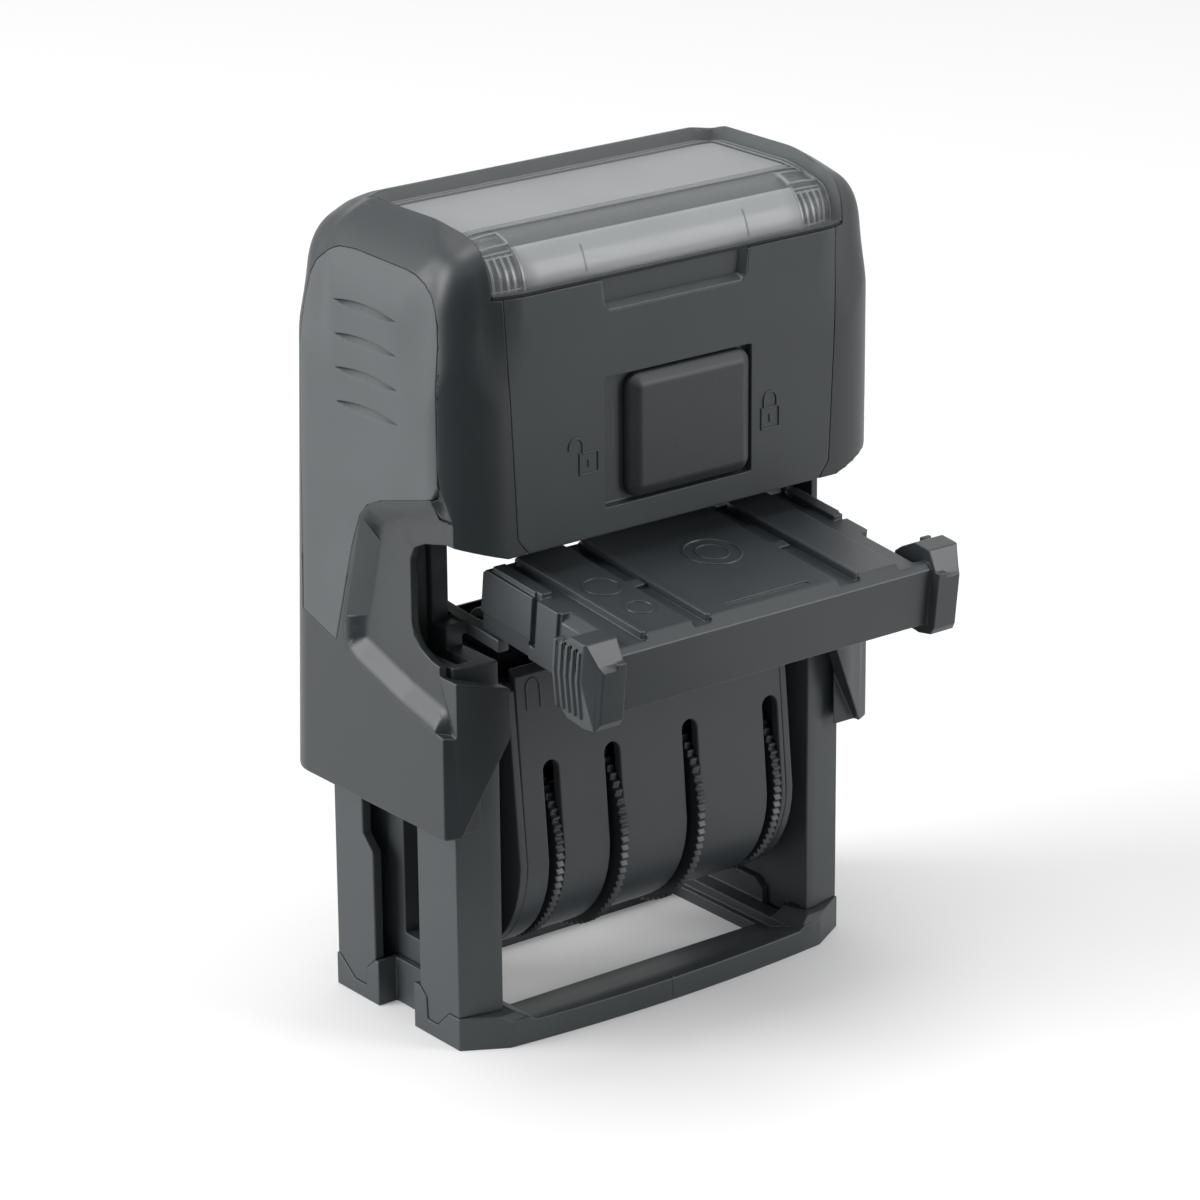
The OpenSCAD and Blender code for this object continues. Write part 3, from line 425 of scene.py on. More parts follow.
def soften_mesh(mesh, edges_mm, kind):
    """Rounds a cap piece's edges and moves its outside to the soft form, with true normals."""
    shape = bmesh.new()
    shape.from_mesh(mesh)
    join_and_flatten(shape)
    rounded = shape.faces.layers.int.new("rounded")
    if edges_mm > 0:
        made = bmesh.ops.bevel(
            shape, geom=edges_to_round(shape, kind), offset=edges_mm * MM, offset_type="OFFSET",
            segments=BEVEL_SEGMENTS, profile=BEVEL_PROFILE, affect="EDGES", clamp_overlap=False,
            miter_outer="ARC", spread=BEVEL_SPREAD_MM * MM)
        for face in made["faces"]:
            face[rounded] = 1
    refine(shape, kind)
    shape.verts.index_update()
    points = coordinates(shape)
    depth_layer = shape.verts.layers.float.new("depth")
    slope_layer = shape.verts.layers.int.new("slope")
    on_slope = on_slopes(points, points, kind)[1]
    places = zip(shape.verts, soften(points, kind), cap_distance(points, 0), on_slope)
    for vert, place, deep, sloped in places:
        vert.co = Vector(place) * MM
        vert[depth_layer] = deep
        vert[slope_layer] = int(sloped)
    # The slopes bring some points together
    sloped_verts = [v for v in shape.verts if v[slope_layer]]
    bmesh.ops.remove_doubles(shape, verts=sloped_verts, dist=SLOPE_MERGE_MM * MM)
    shape.verts.index_update()
    shape.normal_update()
    depth = np.array([v[depth_layer] for v in shape.verts])
    on_slope = np.array([v[slope_layer] for v in shape.verts], bool)
    normals = corner_normals(shape, depth, on_slope, rounded)
    for face in shape.faces:
        face.smooth = True
    for edge in shape.edges:
        two = len(edge.link_faces) == 2
        edge.smooth = not (two and edge.calc_face_angle(0) > CREASE_ANGLE)
    shape.to_mesh(mesh)
    shape.free()
    mesh.normals_split_custom_set(normals)


# Materials

BUMP_MM = 0.02
CLOUD_SCALE = 160
CLOUD_DETAIL = 3
CLOUD_LOW, CLOUD_HIGH = 0.35, 0.65
PLASTIC_SHEEN = 0.03
EDGE_SAMPLES = 6
# Wear and a painted edge highlight come in as the rounded normal turns away from the face's own
WEAR_AND_HIGHLIGHT_FROM, WEAR_AND_HIGHLIGHT_TO = 0.99, 0.75
# How far the edge colour is lightened, for wear and for the painted edge highlight
WORN_HIGHLIGHT_GAIN, WORN_HIGHLIGHT_LIFT = 2.2, 0.02
WIRE_LINES_SCALE = 4000
METAL_SHEEN = 0.08
CLEAR_WAVES_SCALE = 300
CLEAR_SPECULAR = 0.6


def new_material(name):
    material = bpy.data.materials.new(name)
    material.use_nodes = True
    tree = material.node_tree
    shader = tree.nodes["Principled BSDF"]
    return material, tree, shader


def add_noise(tree, scale, detail=2):
    """Noise over the piece, and the socket of its strength."""
    place = tree.nodes.new("ShaderNodeTexCoord")
    noise = tree.nodes.new("ShaderNodeTexNoise")
    noise.inputs["Scale"].default_value = scale
    noise.inputs["Detail"].default_value = detail
    tree.links.new(place.outputs["Object"], noise.inputs["Vector"])
    return noise.outputs["Fac"]


def vary_roughness(tree, shader, source, roughness, spread):
    sheen = tree.nodes.new("ShaderNodeMapRange")
    sheen.inputs["To Min"].default_value = roughness - spread
    sheen.inputs["To Max"].default_value = roughness + spread
    tree.links.new(source, sheen.inputs["Value"])
    tree.links.new(sheen.outputs["Result"], shader.inputs["Roughness"])


def add_bump(tree, shader, height, strength):
    bump = tree.nodes.new("ShaderNodeBump")
    bump.inputs["Strength"].default_value = strength
    bump.inputs["Distance"].default_value = BUMP_MM * MM
    tree.links.new(height, bump.inputs["Height"])
    tree.links.new(bump.outputs["Normal"], shader.inputs["Normal"])
    return bump


def plastic(name, color, roughness=0.42, grain=0.25, grain_mm=0.09, variation=0.05, edge_mm=0.12,
            wear_and_highlight=0.25):
    """Moulded plastic: slightly cloudy, with an eroded grain, and edges lighter in colour, partly
    as wear and partly as a painted highlight.
    """
    material, tree, shader = new_material(name)
    nodes, links = tree.nodes, tree.links
    cloud = add_noise(tree, CLOUD_SCALE, CLOUD_DETAIL)
    ramp = nodes.new("ShaderNodeValToRGB")
    low, high = ramp.color_ramp.elements
    low.color = (*[c * (1 - variation) for c in color], 1)
    high.color = (*[c * (1 + variation) for c in color], 1)
    low.position = CLOUD_LOW
    high.position = CLOUD_HIGH
    links.new(cloud, ramp.inputs["Fac"])
    vary_roughness(tree, shader, cloud, roughness, PLASTIC_SHEEN)
    soft_edge = nodes.new("ShaderNodeBevel")
    soft_edge.samples = EDGE_SAMPLES
    soft_edge.inputs["Radius"].default_value = edge_mm * MM
    bump = add_bump(tree, shader, add_noise(tree, 1 / (grain_mm * MM)), grain)
    links.new(soft_edge.outputs["Normal"], bump.inputs["Normal"])
    face = nodes.new("ShaderNodeNewGeometry")
    turned = nodes.new("ShaderNodeVectorMath")
    turned.operation = "DOT_PRODUCT"
    links.new(soft_edge.outputs["Normal"], turned.inputs[0])
    links.new(face.outputs["Normal"], turned.inputs[1])
    # Edges are lighter in colour: partly wear, partly a painted highlight
    worn_highlight = nodes.new("ShaderNodeMapRange")
    worn_highlight.inputs["From Min"].default_value = WEAR_AND_HIGHLIGHT_FROM
    worn_highlight.inputs["From Max"].default_value = WEAR_AND_HIGHLIGHT_TO
    worn_highlight.inputs["To Max"].default_value = wear_and_highlight
    links.new(turned.outputs["Value"], worn_highlight.inputs["Value"])
    mix = nodes.new("ShaderNodeMix")
    mix.data_type = "RGBA"
    mix.inputs["B"].default_value = (*[min(1, c * WORN_HIGHLIGHT_GAIN + WORN_HIGHLIGHT_LIFT) for c in color], 1)
    links.new(worn_highlight.outputs["Result"], mix.inputs["Factor"])
    links.new(ramp.outputs["Color"], mix.inputs["A"])
    links.new(mix.outputs["Result"], shader.inputs["Base Color"])
    return material


def metal(name, color, roughness):
    """Drawn wire or a turned shaft, with a fine noise in its roughness."""
    material, tree, shader = new_material(name)
    vary_roughness(tree, shader, add_noise(tree, WIRE_LINES_SCALE), roughness, METAL_SHEEN)
    shader.inputs["Base Color"].default_value = (*color, 1)
    shader.inputs["Metallic"].default_value = 1
    return material


def clear(name, tint, opacity, roughness=0.08, waviness=0.05):
    """Clear moulded plastic: mostly see-through, with its gloss kept."""
    material, tree, shader = new_material(name)
    add_bump(tree, shader, add_noise(tree, CLEAR_WAVES_SCALE), waviness)
    shader.inputs["Base Color"].default_value = (*tint, 1)
    shader.inputs["Roughness"].default_value = roughness
    shader.inputs["Alpha"].default_value = opacity
    shader.inputs["Specular IOR Level"].default_value = CLEAR_SPECULAR
    return material


MATERIALS = {
    "frame_plastic": plastic("frame_plastic", (0.040, 0.047, 0.051), 0.45),
    "cap_plastic": plastic("cap_plastic", (0.022, 0.027, 0.030), 0.4),
    "panel_plastic": plastic("panel_plastic", (0.034, 0.041, 0.044), 0.42),
    "soft_grip": plastic("soft_grip", (0.072, 0.080, 0.084), 0.6, grain=0.12, edge_mm=0.2),
    "button_plastic": plastic("button_plastic", (0.028, 0.033, 0.036), 0.48, grain=0.7,
                              grain_mm=0.12, edge_mm=0.3),
    "clear_plastic": clear("clear_plastic", (0.80, 0.84, 0.86), 0.07),
    "card_paper": plastic("card_paper", (0.235, 0.24, 0.245), 0.6, grain=0.1, wear_and_highlight=0),
    "spring_steel": metal("spring_steel", (0.62, 0.61, 0.6), 0.3),
    "arm_plastic": plastic("arm_plastic", (0.036, 0.039, 0.041), 0.35),
    "dater_plastic": plastic("dater_plastic", (0.033, 0.039, 0.043), 0.42),
    "wheel_plastic": plastic("wheel_plastic", (0.020, 0.023, 0.025), 0.4, wear_and_highlight=0.3, edge_mm=0.1),
    "band_rubber": plastic("band_rubber", (0.012, 0.012, 0.013), 0.65, grain=0.3),
    "tray_plastic": plastic("tray_plastic", (0.034, 0.040, 0.044), 0.38),
    "ink_felt": plastic("ink_felt", (0.006, 0.006, 0.008), 0.9, grain=1.0, grain_mm=0.2, wear_and_highlight=0),
}
# Finishes of fine detail alone
FROSTED = plastic("frosted_plastic", (0.30, 0.31, 0.316), 0.4, grain=0.5, grain_mm=0.05, wear_and_highlight=0)
# The notch lip's lighter colour is a painted highlight on its slope
LIP_PAINTED_HIGHLIGHT = plastic("notch_lip", (0.058, 0.067, 0.071), 0.3)
# Near black for the seam strip: painted shade in the gap under the cover's edge
SEAM_PAINTED_SHADE = plastic("seam_painted_shade", (0.008, 0.009, 0.010), 0.7, grain=0.1, wear_and_highlight=0)
# Light grey for the clear ribs, frames and rims: a painted highlight of their glints
RIB_PAINTED_HIGHLIGHT = plastic("rib_painted_highlight", (0.20, 0.215, 0.22), 0.2, grain=0, wear_and_highlight=0)


# Skins over the CAD nodes

SKIN_SEGMENTS = 3
SKIN_ANGLE = math.radians(25)
NORMALS_WEIGHT = 80
# How far each moulded piece's edges are rounded, in millimetres
SKIN_EDGES = {
    "foot_ring": 0.12, "left_column": 0.15, "right_column": 0.15, "chassis_bridge": 0.15,
    "lock_button": 0.25, "lock_latch": 0.1, "left_lift_arm": 0.12, "right_lift_arm": 0.12,
    "left_dater_cheek": 0.12, "right_dater_cheek": 0.12, "dater_cover": 0.12,
    "print_bridge": 0.15, "ink_tray": 0.1,
    "day_tens_wheel": 0.04, "day_units_wheel": 0.04, "month_wheel": 0.04, "year_wheel": 0.04,
    "day_tens_band": 0.1, "day_units_band": 0.1, "month_band": 0.1, "year_band": 0.1,
}
# The same for the pieces that follow the cap's soft form, and the slopes that some have
SOFT_EDGES = {
    "cap_shell": 0.2, "front_panel": 0.2, "left_grip_insert": 0.16, "right_grip_insert": 0.16,
    "clear_cover": 0.1, "index_card": 0,
}
SLOPED = {"cap_shell": "waist", "left_grip_insert": "grooves", "right_grip_insert": "grooves"}
# These are shown as they are
PLAIN_NODES = ("left_return_spring", "right_return_spring", "wheel_shaft", "ink_pad")
# The clear cover is drawn up along its lowest stretch, which is this high
COVER_GAP = 0.35


def place_piece(name, mesh, node, material=None):
    """A piece that rides with a CAD node's body and takes its finish from that node's slot."""
    mesh.materials.clear()
    mesh.materials.append(material or MATERIALS[SLOT_OF[node]])
    piece = bpy.data.objects.new(name, mesh)
    bpy.context.scene.collection.objects.link(piece)
    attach(piece, BODY_OF[node])
    return piece


def skin(node, bevel_mm):
    """A CAD node's copy, with flat faces merged and edges rounded, shown in its place while the
    node is hidden.
    """
    mesh = NODES[node].data.copy()
    mesh.name = node + "_skin"
    shape = bmesh.new()
    shape.from_mesh(mesh)
    join_and_flatten(shape)
    shape.to_mesh(mesh)
    shape.free()
    piece = place_piece(node + "_skin", mesh, node)
    round_edges(piece, bevel_mm, SKIN_SEGMENTS)
    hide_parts(node)
    return piece


def round_edges(piece, bevel_mm, segments):
    piece.data.polygons.foreach_set("use_smooth", [True] * len(piece.data.polygons))
    bevel = piece.modifiers.new("bevel", "BEVEL")
    bevel.width = bevel_mm * MM
    bevel.segments = segments
    bevel.limit_method = "ANGLE"
    bevel.angle_limit = SKIN_ANGLE
    bevel.use_clamp_overlap = False
    bevel.miter_outer = "MITER_ARC"
    bevel.harden_normals = False
    normals = piece.modifiers.new("normals", "WEIGHTED_NORMAL")
    normals.keep_sharp = True
    normals.weight = NORMALS_WEIGHT


def soft_skin(node, edges_mm):
    """A copy of a cap node that follows the cap's soft form, shown in its place while the node is
    hidden.
    """
    mesh = NODES[node].data.copy()
    mesh.name = node + "_skin"
    soften_mesh(mesh, edges_mm, SLOPED.get(node, "plain"))
    piece = place_piece(node + "_skin", mesh, node)
    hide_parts(node)
    return piece


def open_cover_gap():
    """Draws the clear cover's lower edge up a little, for the dark line above the front panel."""
    edge = corners("clear_cover")[0][2] + COVER_GAP
    for vert in bpy.data.objects["clear_cover_skin"].data.vertices:
        if vert.co.z < edge * MM:
            vert.co.z = (vert.co.z + 2 * edge * MM) / 3


def dress_nodes():
    for node, bevel_mm in SKIN_EDGES.items():
        skin(node, bevel_mm)
    for node, edges_mm in SOFT_EDGES.items():
        soft_skin(node, edges_mm)
    open_cover_gap()
    for node in PLAIN_NODES:
        for place in NODES[node].material_slots:
            place.material = MATERIALS[SLOT_OF[node]]


# Fine detail, built in millimetres

DETAIL_SEGMENTS = 2
# The crest of a raised bar as a share of its width
CREST = 0.55
STRIP_X_STEP, STRIP_S_STEP = 1.5, 0.45


def add_detail(name, node, points, faces, material=None, bevel_mm=0.0):
    """A piece made of points in millimetres, with its faces turned outwards."""
    mesh = bpy.data.meshes.new(name)
    mesh.from_pydata([tuple(c * MM for c in p) for p in points], [], faces)
    shape = bmesh.new()
    shape.from_mesh(mesh)
    bmesh.ops.recalc_face_normals(shape, faces=shape.faces)
    shape.to_mesh(mesh)
    shape.free()
    piece = place_piece(name, mesh, node, material)
    if bevel_mm > 0:
        round_edges(piece, bevel_mm, DETAIL_SEGMENTS)
    return piece


def tube_of(sections):
    """Points and faces of a closed bar through sections that all have the same number of points."""
    count = len(sections[0])
    points = [p for section in sections for p in section]
    faces = [tuple(range(count)), tuple(len(points) - 1 - k for k in range(count))]
    for i in range(len(sections) - 1):
        a, b = i * count, (i + 1) * count
        for k in range(count):
            after = (k + 1) % count
            faces.append((a + k, b + k, b + after, a + after))
    return points, faces


def joined(shapes):
    points, faces = [], []
    for part_points, part_faces in shapes:
        start = len(points)
        points += part_points
        faces += [tuple(k + start for k in face) for face in part_faces]
    return points, faces


def arc_of(centre, radii, start, end, steps):
    """Points on an arc in a plane, angles in degrees."""
    found = []
    for i in range(steps + 1):
        a = math.radians(start + (end - start) * i / steps)
        found.append((centre[0] + radii[0] * math.cos(a), centre[1] + radii[1] * math.sin(a)))
    return found


def outline_bar(path, width, low, high, to_world, closed=False):
    """A raised bar of one width along a path in a plane, from height low to height high."""
    count = len(path)
    sections = []
    for i in range(count):
        before = path[(i - 1) % count] if closed or i > 0 else path[i]
        after = path[(i + 1) % count] if closed or i < count - 1 else path[i]
        along = Vector((after[0] - before[0], after[1] - before[1])).normalized()
        side = Vector((-along.y, along.x)) * width / 2
        here = Vector(path[i])
        section = ((here + side, low), (here + side * CREST, high),
                   (here - side * CREST, high), (here - side, low))
        sections.append([to_world(place, height) for place, height in section])
    if closed:
        sections.append(sections[0])
        points, faces = tube_of(sections)
        return points, faces[2:]
    return tube_of(sections)


ROLL_Y = CAP_FRONT + FRONT_ROUND
ROLL_Z = CAP_TOP - FRONT_ROUND


def over_roll(s, depth):
    """Y and Z at a depth, s back along the cap's top from where the front roll meets it."""
    if s >= 0:
        return ROLL_Y + s, CAP_TOP - depth
    turn = s / FRONT_ROUND
    radius = FRONT_ROUND - depth
    return ROLL_Y + radius * math.sin(turn), ROLL_Z + radius * math.cos(turn)


def roof_strip(x0, x1, s0, s1, depth0, depth1):
    """A thin strip under the cap's roof between two depths, which follows the soft form."""
    x_steps = max(1, round((x1 - x0) / STRIP_X_STEP))
    s_steps = max(1, round((s1 - s0) / STRIP_S_STEP))
    rows = []
    for depth in (depth0, depth1):
        for i in range(s_steps + 1):
            y, z = over_roll(s0 + (s1 - s0) * i / s_steps, depth)
            rows.append([(x0 + (x1 - x0) * k / x_steps, y, z) for k in range(x_steps + 1)])
    points = [p for row in rows for p in row]
    width, half = x_steps + 1, (s_steps + 1) * (x_steps + 1)
    faces = []
    for i in range(s_steps):
        for k in range(x_steps):
            a = i * width + k
            faces.append((a, a + 1, a + width + 1, a + width))
            faces.append((half + a, half + a + width, half + a + width + 1, half + a + 1))
    rim = list(range(width))
    rim += [i * width + x_steps for i in range(1, s_steps + 1)]
    rim += [s_steps * width + k for k in range(x_steps - 1, -1, -1)]
    rim += [i * width for i in range(s_steps - 1, 0, -1)]
    for a, b in zip(rim, rim[1:] + rim[:1]):
        faces.append((a, half + a, half + b, b))
    soft = soften(np.array(points))
    return [tuple(p) for p in soft], faces


# What shows through the clear cover. Each row of four: where a strip starts and ends along the
# roof, and its two depths below the roof.
ROLL_TOP, ROLL_LOW = -3.6, -8.7
FROST = (ROLL_LOW, ROLL_TOP, 1.24, 1.4)
FROST_MARGIN = 4.2
END_RIB = (ROLL_LOW, ROLL_TOP - 0.6, 1.46, 1.62)
END_RIBS, END_RIB_X, END_RIB_PITCH, END_RIB_HALF = 5, 1.1, 0.72, 0.13
END_WALL = (ROLL_LOW, ROLL_TOP, 1.24, 1.6)
END_WALL_X, END_WALL_HALF = 4.05, 0.12
END_BARS = (ROLL_LOW + 0.1, ROLL_TOP - 0.3, ROLL_TOP - 0.9)
END_BAR_OUTER, END_BAR_INNER, END_BAR_WIDE, END_BAR_DEPTHS = 0.8, 4.1, 0.2, (1.46, 1.6)
MOULD_LINE = (ROLL_LOW + 0.6, ROLL_TOP - 1.4, 1.2, 1.24)
MOULD_LINES, MOULD_LINE_HALF = (-0.45, 0.47), 0.09
POCKET_SIDE = (-3.1, -0.6, 1.24, 1.5)
POCKET_OUTER, POCKET_INNER, POCKET_SIDE_HALF = 0.75, 3.9, 0.12
POCKET_BARS, POCKET_BAR_WIDE, POCKET_BAR_DEPTHS = (-3.1, -0.8), 0.22, (1.24, 1.5)
RIM_DEPTHS = (1.22, 1.3)
RIM_REAR = COVER_REAR - (CAP_FRONT + FRONT_ROUND) - 0.9
RIM_INNER_X, RIM_INNER_HALF, RIM_INNER_START = 0.95, 0.1, -0.4
RIM_OUTER_X, RIM_OUTER_HALF, RIM_OUTER_START, RIM_OUTER_PAST = 0.35, 0.07, -8.6, 0.6
RIM_BARS = (RIM_REAR, RIM_REAR + 0.55, 1.15, 0.4)
RIM_BAR_WIDE = 0.13
# The dark line below the cover, a near-black strip of painted shade in the gap, given in the same
# way
SEAM = (-8.87, -8.42, 0.14, 0.3)
SEAM_MARGIN = 0.05


def strip_at(x, half, run):
    """A strip along the roof at one x."""
    return roof_strip(x - half, x + half, *run)


def strip_across(x0, x1, s, wide, depths):
    """A strip across the roof from one x to another."""
    return roof_strip(*sorted((x0, x1)), s, s + wide, *depths)


def end_ribs(side):
    """Ribs, a wall and three bars at one end of the front roll."""
    half = COVER_HALF
    shapes = []
    for k in range(END_RIBS):
        x = side * (half - END_RIB_X - END_RIB_PITCH * k)
        shapes.append(strip_at(x, END_RIB_HALF, END_RIB))
    shapes.append(strip_at(side * (half - END_WALL_X), END_WALL_HALF, END_WALL))
    outer, inner = side * (half - END_BAR_OUTER), side * (half - END_BAR_INNER)
    for s in END_BARS:
        shapes.append(strip_across(outer, inner, s, END_BAR_WIDE, END_BAR_DEPTHS))
    return shapes


def pocket_frame(side):
    outer, inner = COVER_HALF - POCKET_OUTER, COVER_HALF - POCKET_INNER
    shapes = [strip_at(side * x, POCKET_SIDE_HALF, POCKET_SIDE) for x in (outer, inner)]
    for s in POCKET_BARS:
        bar = strip_across(side * outer, side * inner, s, POCKET_BAR_WIDE, POCKET_BAR_DEPTHS)
        shapes.append(bar)
    return shapes


def rim_sides(side):
    inner = (RIM_INNER_START, RIM_REAR, *RIM_DEPTHS)
    outer = (RIM_OUTER_START, RIM_REAR + RIM_OUTER_PAST, *RIM_DEPTHS)
    return [strip_at(side * (COVER_HALF - RIM_INNER_X), RIM_INNER_HALF, inner),
            strip_at(side * (COVER_HALF - RIM_OUTER_X), RIM_OUTER_HALF, outer)]


def add_cover_detail():
    """The frosted front roll, and ribs, pockets and rims under the clear cover as light strips of
    painted highlight, and a strip of painted shade in its seam.
    """
    half = COVER_HALF
    roll = roof_strip(-half + FROST_MARGIN, half - FROST_MARGIN, *FROST)
    frosted = add_detail("frosted_roll", "clear_cover", *roll, FROSTED)
    for face in frosted.data.polygons:
        face.use_smooth = True
    ribs = end_ribs(-1) + end_ribs(1)
    ribs += [strip_at(half * share, MOULD_LINE_HALF, MOULD_LINE) for share in MOULD_LINES]
    # Ribs, pocket frames and rims are light strips: painted highlights of clear plastic
    add_detail("roll_ribs", "clear_cover", *joined(ribs), RIB_PAINTED_HIGHLIGHT)
    frames = pocket_frame(-1) + pocket_frame(1)
    add_detail("pocket_frames", "clear_cover", *joined(frames), RIB_PAINTED_HIGHLIGHT)
    inner = half - RIM_INNER_X
    rim = rim_sides(-1) + rim_sides(1)
    rim += [strip_across(-inner, inner, s, RIM_BAR_WIDE, RIM_DEPTHS) for s in RIM_BARS]
    add_detail("cover_rim_lines", "clear_cover", *joined(rim), RIB_PAINTED_HIGHLIGHT)
    # A near-black strip of painted shade in the seam below the cover
    seam = roof_strip(-half + SEAM_MARGIN, half - SEAM_MARGIN, *SEAM)
    add_detail("cover_seam_line", "front_panel", *seam, SEAM_PAINTED_SHADE)


PANEL_FACE = corners("front_panel")[0][1]
PANEL_TOP = corners("front_panel")[1][2]
# Marks are let into the face that they stand on by this much
LET_IN = 0.05
MARK_HIGH = 0.11
# The padlock signs stand this far above the lock button's lower edge
SIGN_RISE = 3.35
OPEN_SIGN_X, CLOSED_SIGN_X = -9.7, 10.55
OPEN_LEAN = -1.4
LOCK_WIDE, LOCK_TALL, LOCK_LINE = 2.0, 1.9, 0.26
SHACKLE_IN, SHACKLE_RISE, SHACKLE_CUT, SHACKLE_STEPS = 0.28, 0.75, 0.3, 12
KEYHOLE_LOW, KEYHOLE_TOP, KEYHOLE_HIGH = 0.55, 1.25, 0.09
KEYHOLE_LINE = LOCK_LINE * 1.3
NOTCH_HALF, NOTCH_TALL, NOTCH_DEPTH, NOTCH_ROUND = 7.9, 2.9, 0.8, 0.7
NOTCH_FLARE = 0.3
LIP_WIDTH = 2.2
# How far the middle of the lip lies outside the notch's edge
LIP_OUT = LIP_WIDTH * 0.22
LIP_HIGH = -0.03
# The notch's sides lean out by this many degrees
LIP_SPLAY = 3
LIP_STEPS = 8
LIP_UNDER_TOP = 0.2


def on_panel(point, height):
    return point[0], PANEL_FACE - height, point[1]


def padlock(middle_x, low_z, lean):
    """A raised outline of a padlock, whose shackle stands to one side when it is open."""
    x0, x1 = middle_x - LOCK_WIDE / 2, middle_x + LOCK_WIDE / 2
    top = low_z + LOCK_TALL
    body = [(x0, low_z), (x1, low_z), (x1, top), (x0, top)]
    hoop_x = middle_x + lean
    radius = LOCK_WIDE / 2 - SHACKLE_IN
    legs = top + SHACKLE_RISE
    hoop = [(hoop_x + radius, top)]
    hoop += arc_of((hoop_x, legs), (radius, radius), 0, 180, SHACKLE_STEPS)
    hoop.append((hoop_x - radius, top if lean == 0 else legs - SHACKLE_CUT))
    keyhole = [(middle_x, low_z + KEYHOLE_LOW), (middle_x, low_z + KEYHOLE_TOP)]
    return joined([
        outline_bar(body, LOCK_LINE, -LET_IN, MARK_HIGH, on_panel, closed=True),
        outline_bar(hoop, LOCK_LINE, -LET_IN, MARK_HIGH, on_panel),
        outline_bar(keyhole, KEYHOLE_LINE, -LET_IN, KEYHOLE_HIGH, on_panel),
    ])


def notch_lip():
    """A sloped lip round the finger notch, along its sides and its floor."""
    round_x, round_z = NOTCH_HALF - NOTCH_ROUND, PANEL_TOP - NOTCH_TALL + NOTCH_ROUND
    reach = NOTCH_ROUND + LIP_OUT
    left = arc_of((-round_x, round_z), (reach, reach), 180 + LIP_SPLAY, 270, LIP_STEPS)
    right = arc_of((round_x, round_z), (reach, reach), 270, 360 - LIP_SPLAY, LIP_STEPS)
    side, top = NOTCH_HALF + NOTCH_FLARE + LIP_OUT, PANEL_TOP - LIP_UNDER_TOP
    path = [(-side, top)] + left + right + [(side, top)]
    return outline_bar(path, LIP_WIDTH, -NOTCH_DEPTH, LIP_HIGH, on_panel)


def add_panel_detail():
    low_z = corners("lock_button")[0][2] + SIGN_RISE
    add_detail("open_padlock_icon", "front_panel", *padlock(OPEN_SIGN_X, low_z, OPEN_LEAN))
    add_detail("closed_padlock_icon", "front_panel", *padlock(CLOSED_SIGN_X, low_z, 0))
    # The lip's lighter finish is a painted highlight
    add_detail("notch_lip", "front_panel", *notch_lip(), LIP_PAINTED_HIGHLIGHT)


# Top edge of the cartridge's front face, and its tilt
CART_FRONT_Y, CART_FRONT_Z = -27.1, 41.5
CART_TILT = math.radians(6.3)
LID_UP = 1.0
RING_END, RING_STEPS = 350, 35
# Centre, radius, width and height of each ring on the lid
LID_RINGS = (
    ((1.4, 11.1), 2.6, 0.35, 0.12),
    ((1.4, 11.1), 1.5, 0.25, 0.08),
    ((-11.5, 10.2), 1.7, 0.25, 0.1),
    ((-11.2, 5.3), 1.2, 0.25, 0.1),
)


def in_cartridge(x, back, up):
    """A point given in the cartridge's tilted frame."""
    c, s = math.cos(CART_TILT), math.sin(CART_TILT)
    return x, CART_FRONT_Y + back * c - up * s, CART_FRONT_Z + back * s + up * c


def ring_on_lid(centre, radius, width, high):
    path = arc_of(centre, (radius, radius), 0, RING_END, RING_STEPS)
    return outline_bar(path, width, LID_UP - LET_IN, LID_UP + high,
                       lambda p, up: in_cartridge(p[0], p[1], up), closed=True)


def add_cartridge_detail():
    """Moulded rings on the cartridge's lid, without lettering."""
    add_detail("lid_rings", "ink_tray", *joined([ring_on_lid(*ring) for ring in LID_RINGS]))


BAR_FRONT = corners("foot_ring")[0][1]
BAR_TOP = 2.2
MARK_X, MARK_HALF = -0.3, 0.09
MARK_EDGE_MM = 0.03
# The mark's two blocks, down the bar's front and over its top: depths from the front, heights
MARK_BLOCKS = (
    ((-0.04, 0.3), (0.5, BAR_TOP - 0.1)),
    ((0.1, 0.7), (BAR_TOP - 0.2, BAR_TOP + 0.04)),
)


def block(x_range, y_range, z_range):
    (y0, y1), (z0, z1) = y_range, z_range
    return tube_of([[(x, y0, z0), (x, y1, z0), (x, y1, z1), (x, y0, z1)] for x in x_range])


def add_base_detail():
    """The centre mark on the base's front bar."""
    across = (MARK_X - MARK_HALF, MARK_X + MARK_HALF)
    mark = [block(across, (BAR_FRONT + near, BAR_FRONT + far), heights)
            for (near, far), heights in MARK_BLOCKS]
    add_detail("bar_mark", "foot_ring", *joined(mark), bevel_mm=MARK_EDGE_MM)


ARCH_X, ARCH_Z = -13.0, 31.6
ARCH_HALF, ARCH_TALL, ARCH_LEGS = 0.75, 1.6, 1.2
ARCH_LINE, ARCH_HIGH, ARCH_STEPS = 0.2, 0.08, 10
# The drum's front leans in from its round part up
DRUM_MIDDLE_Z = (corners("wheel_shaft")[0][2] + corners("wheel_shaft")[1][2]) / 2
DRUM_FRONT_IN = 1.6
DRUM_TOP_IN = 0.6


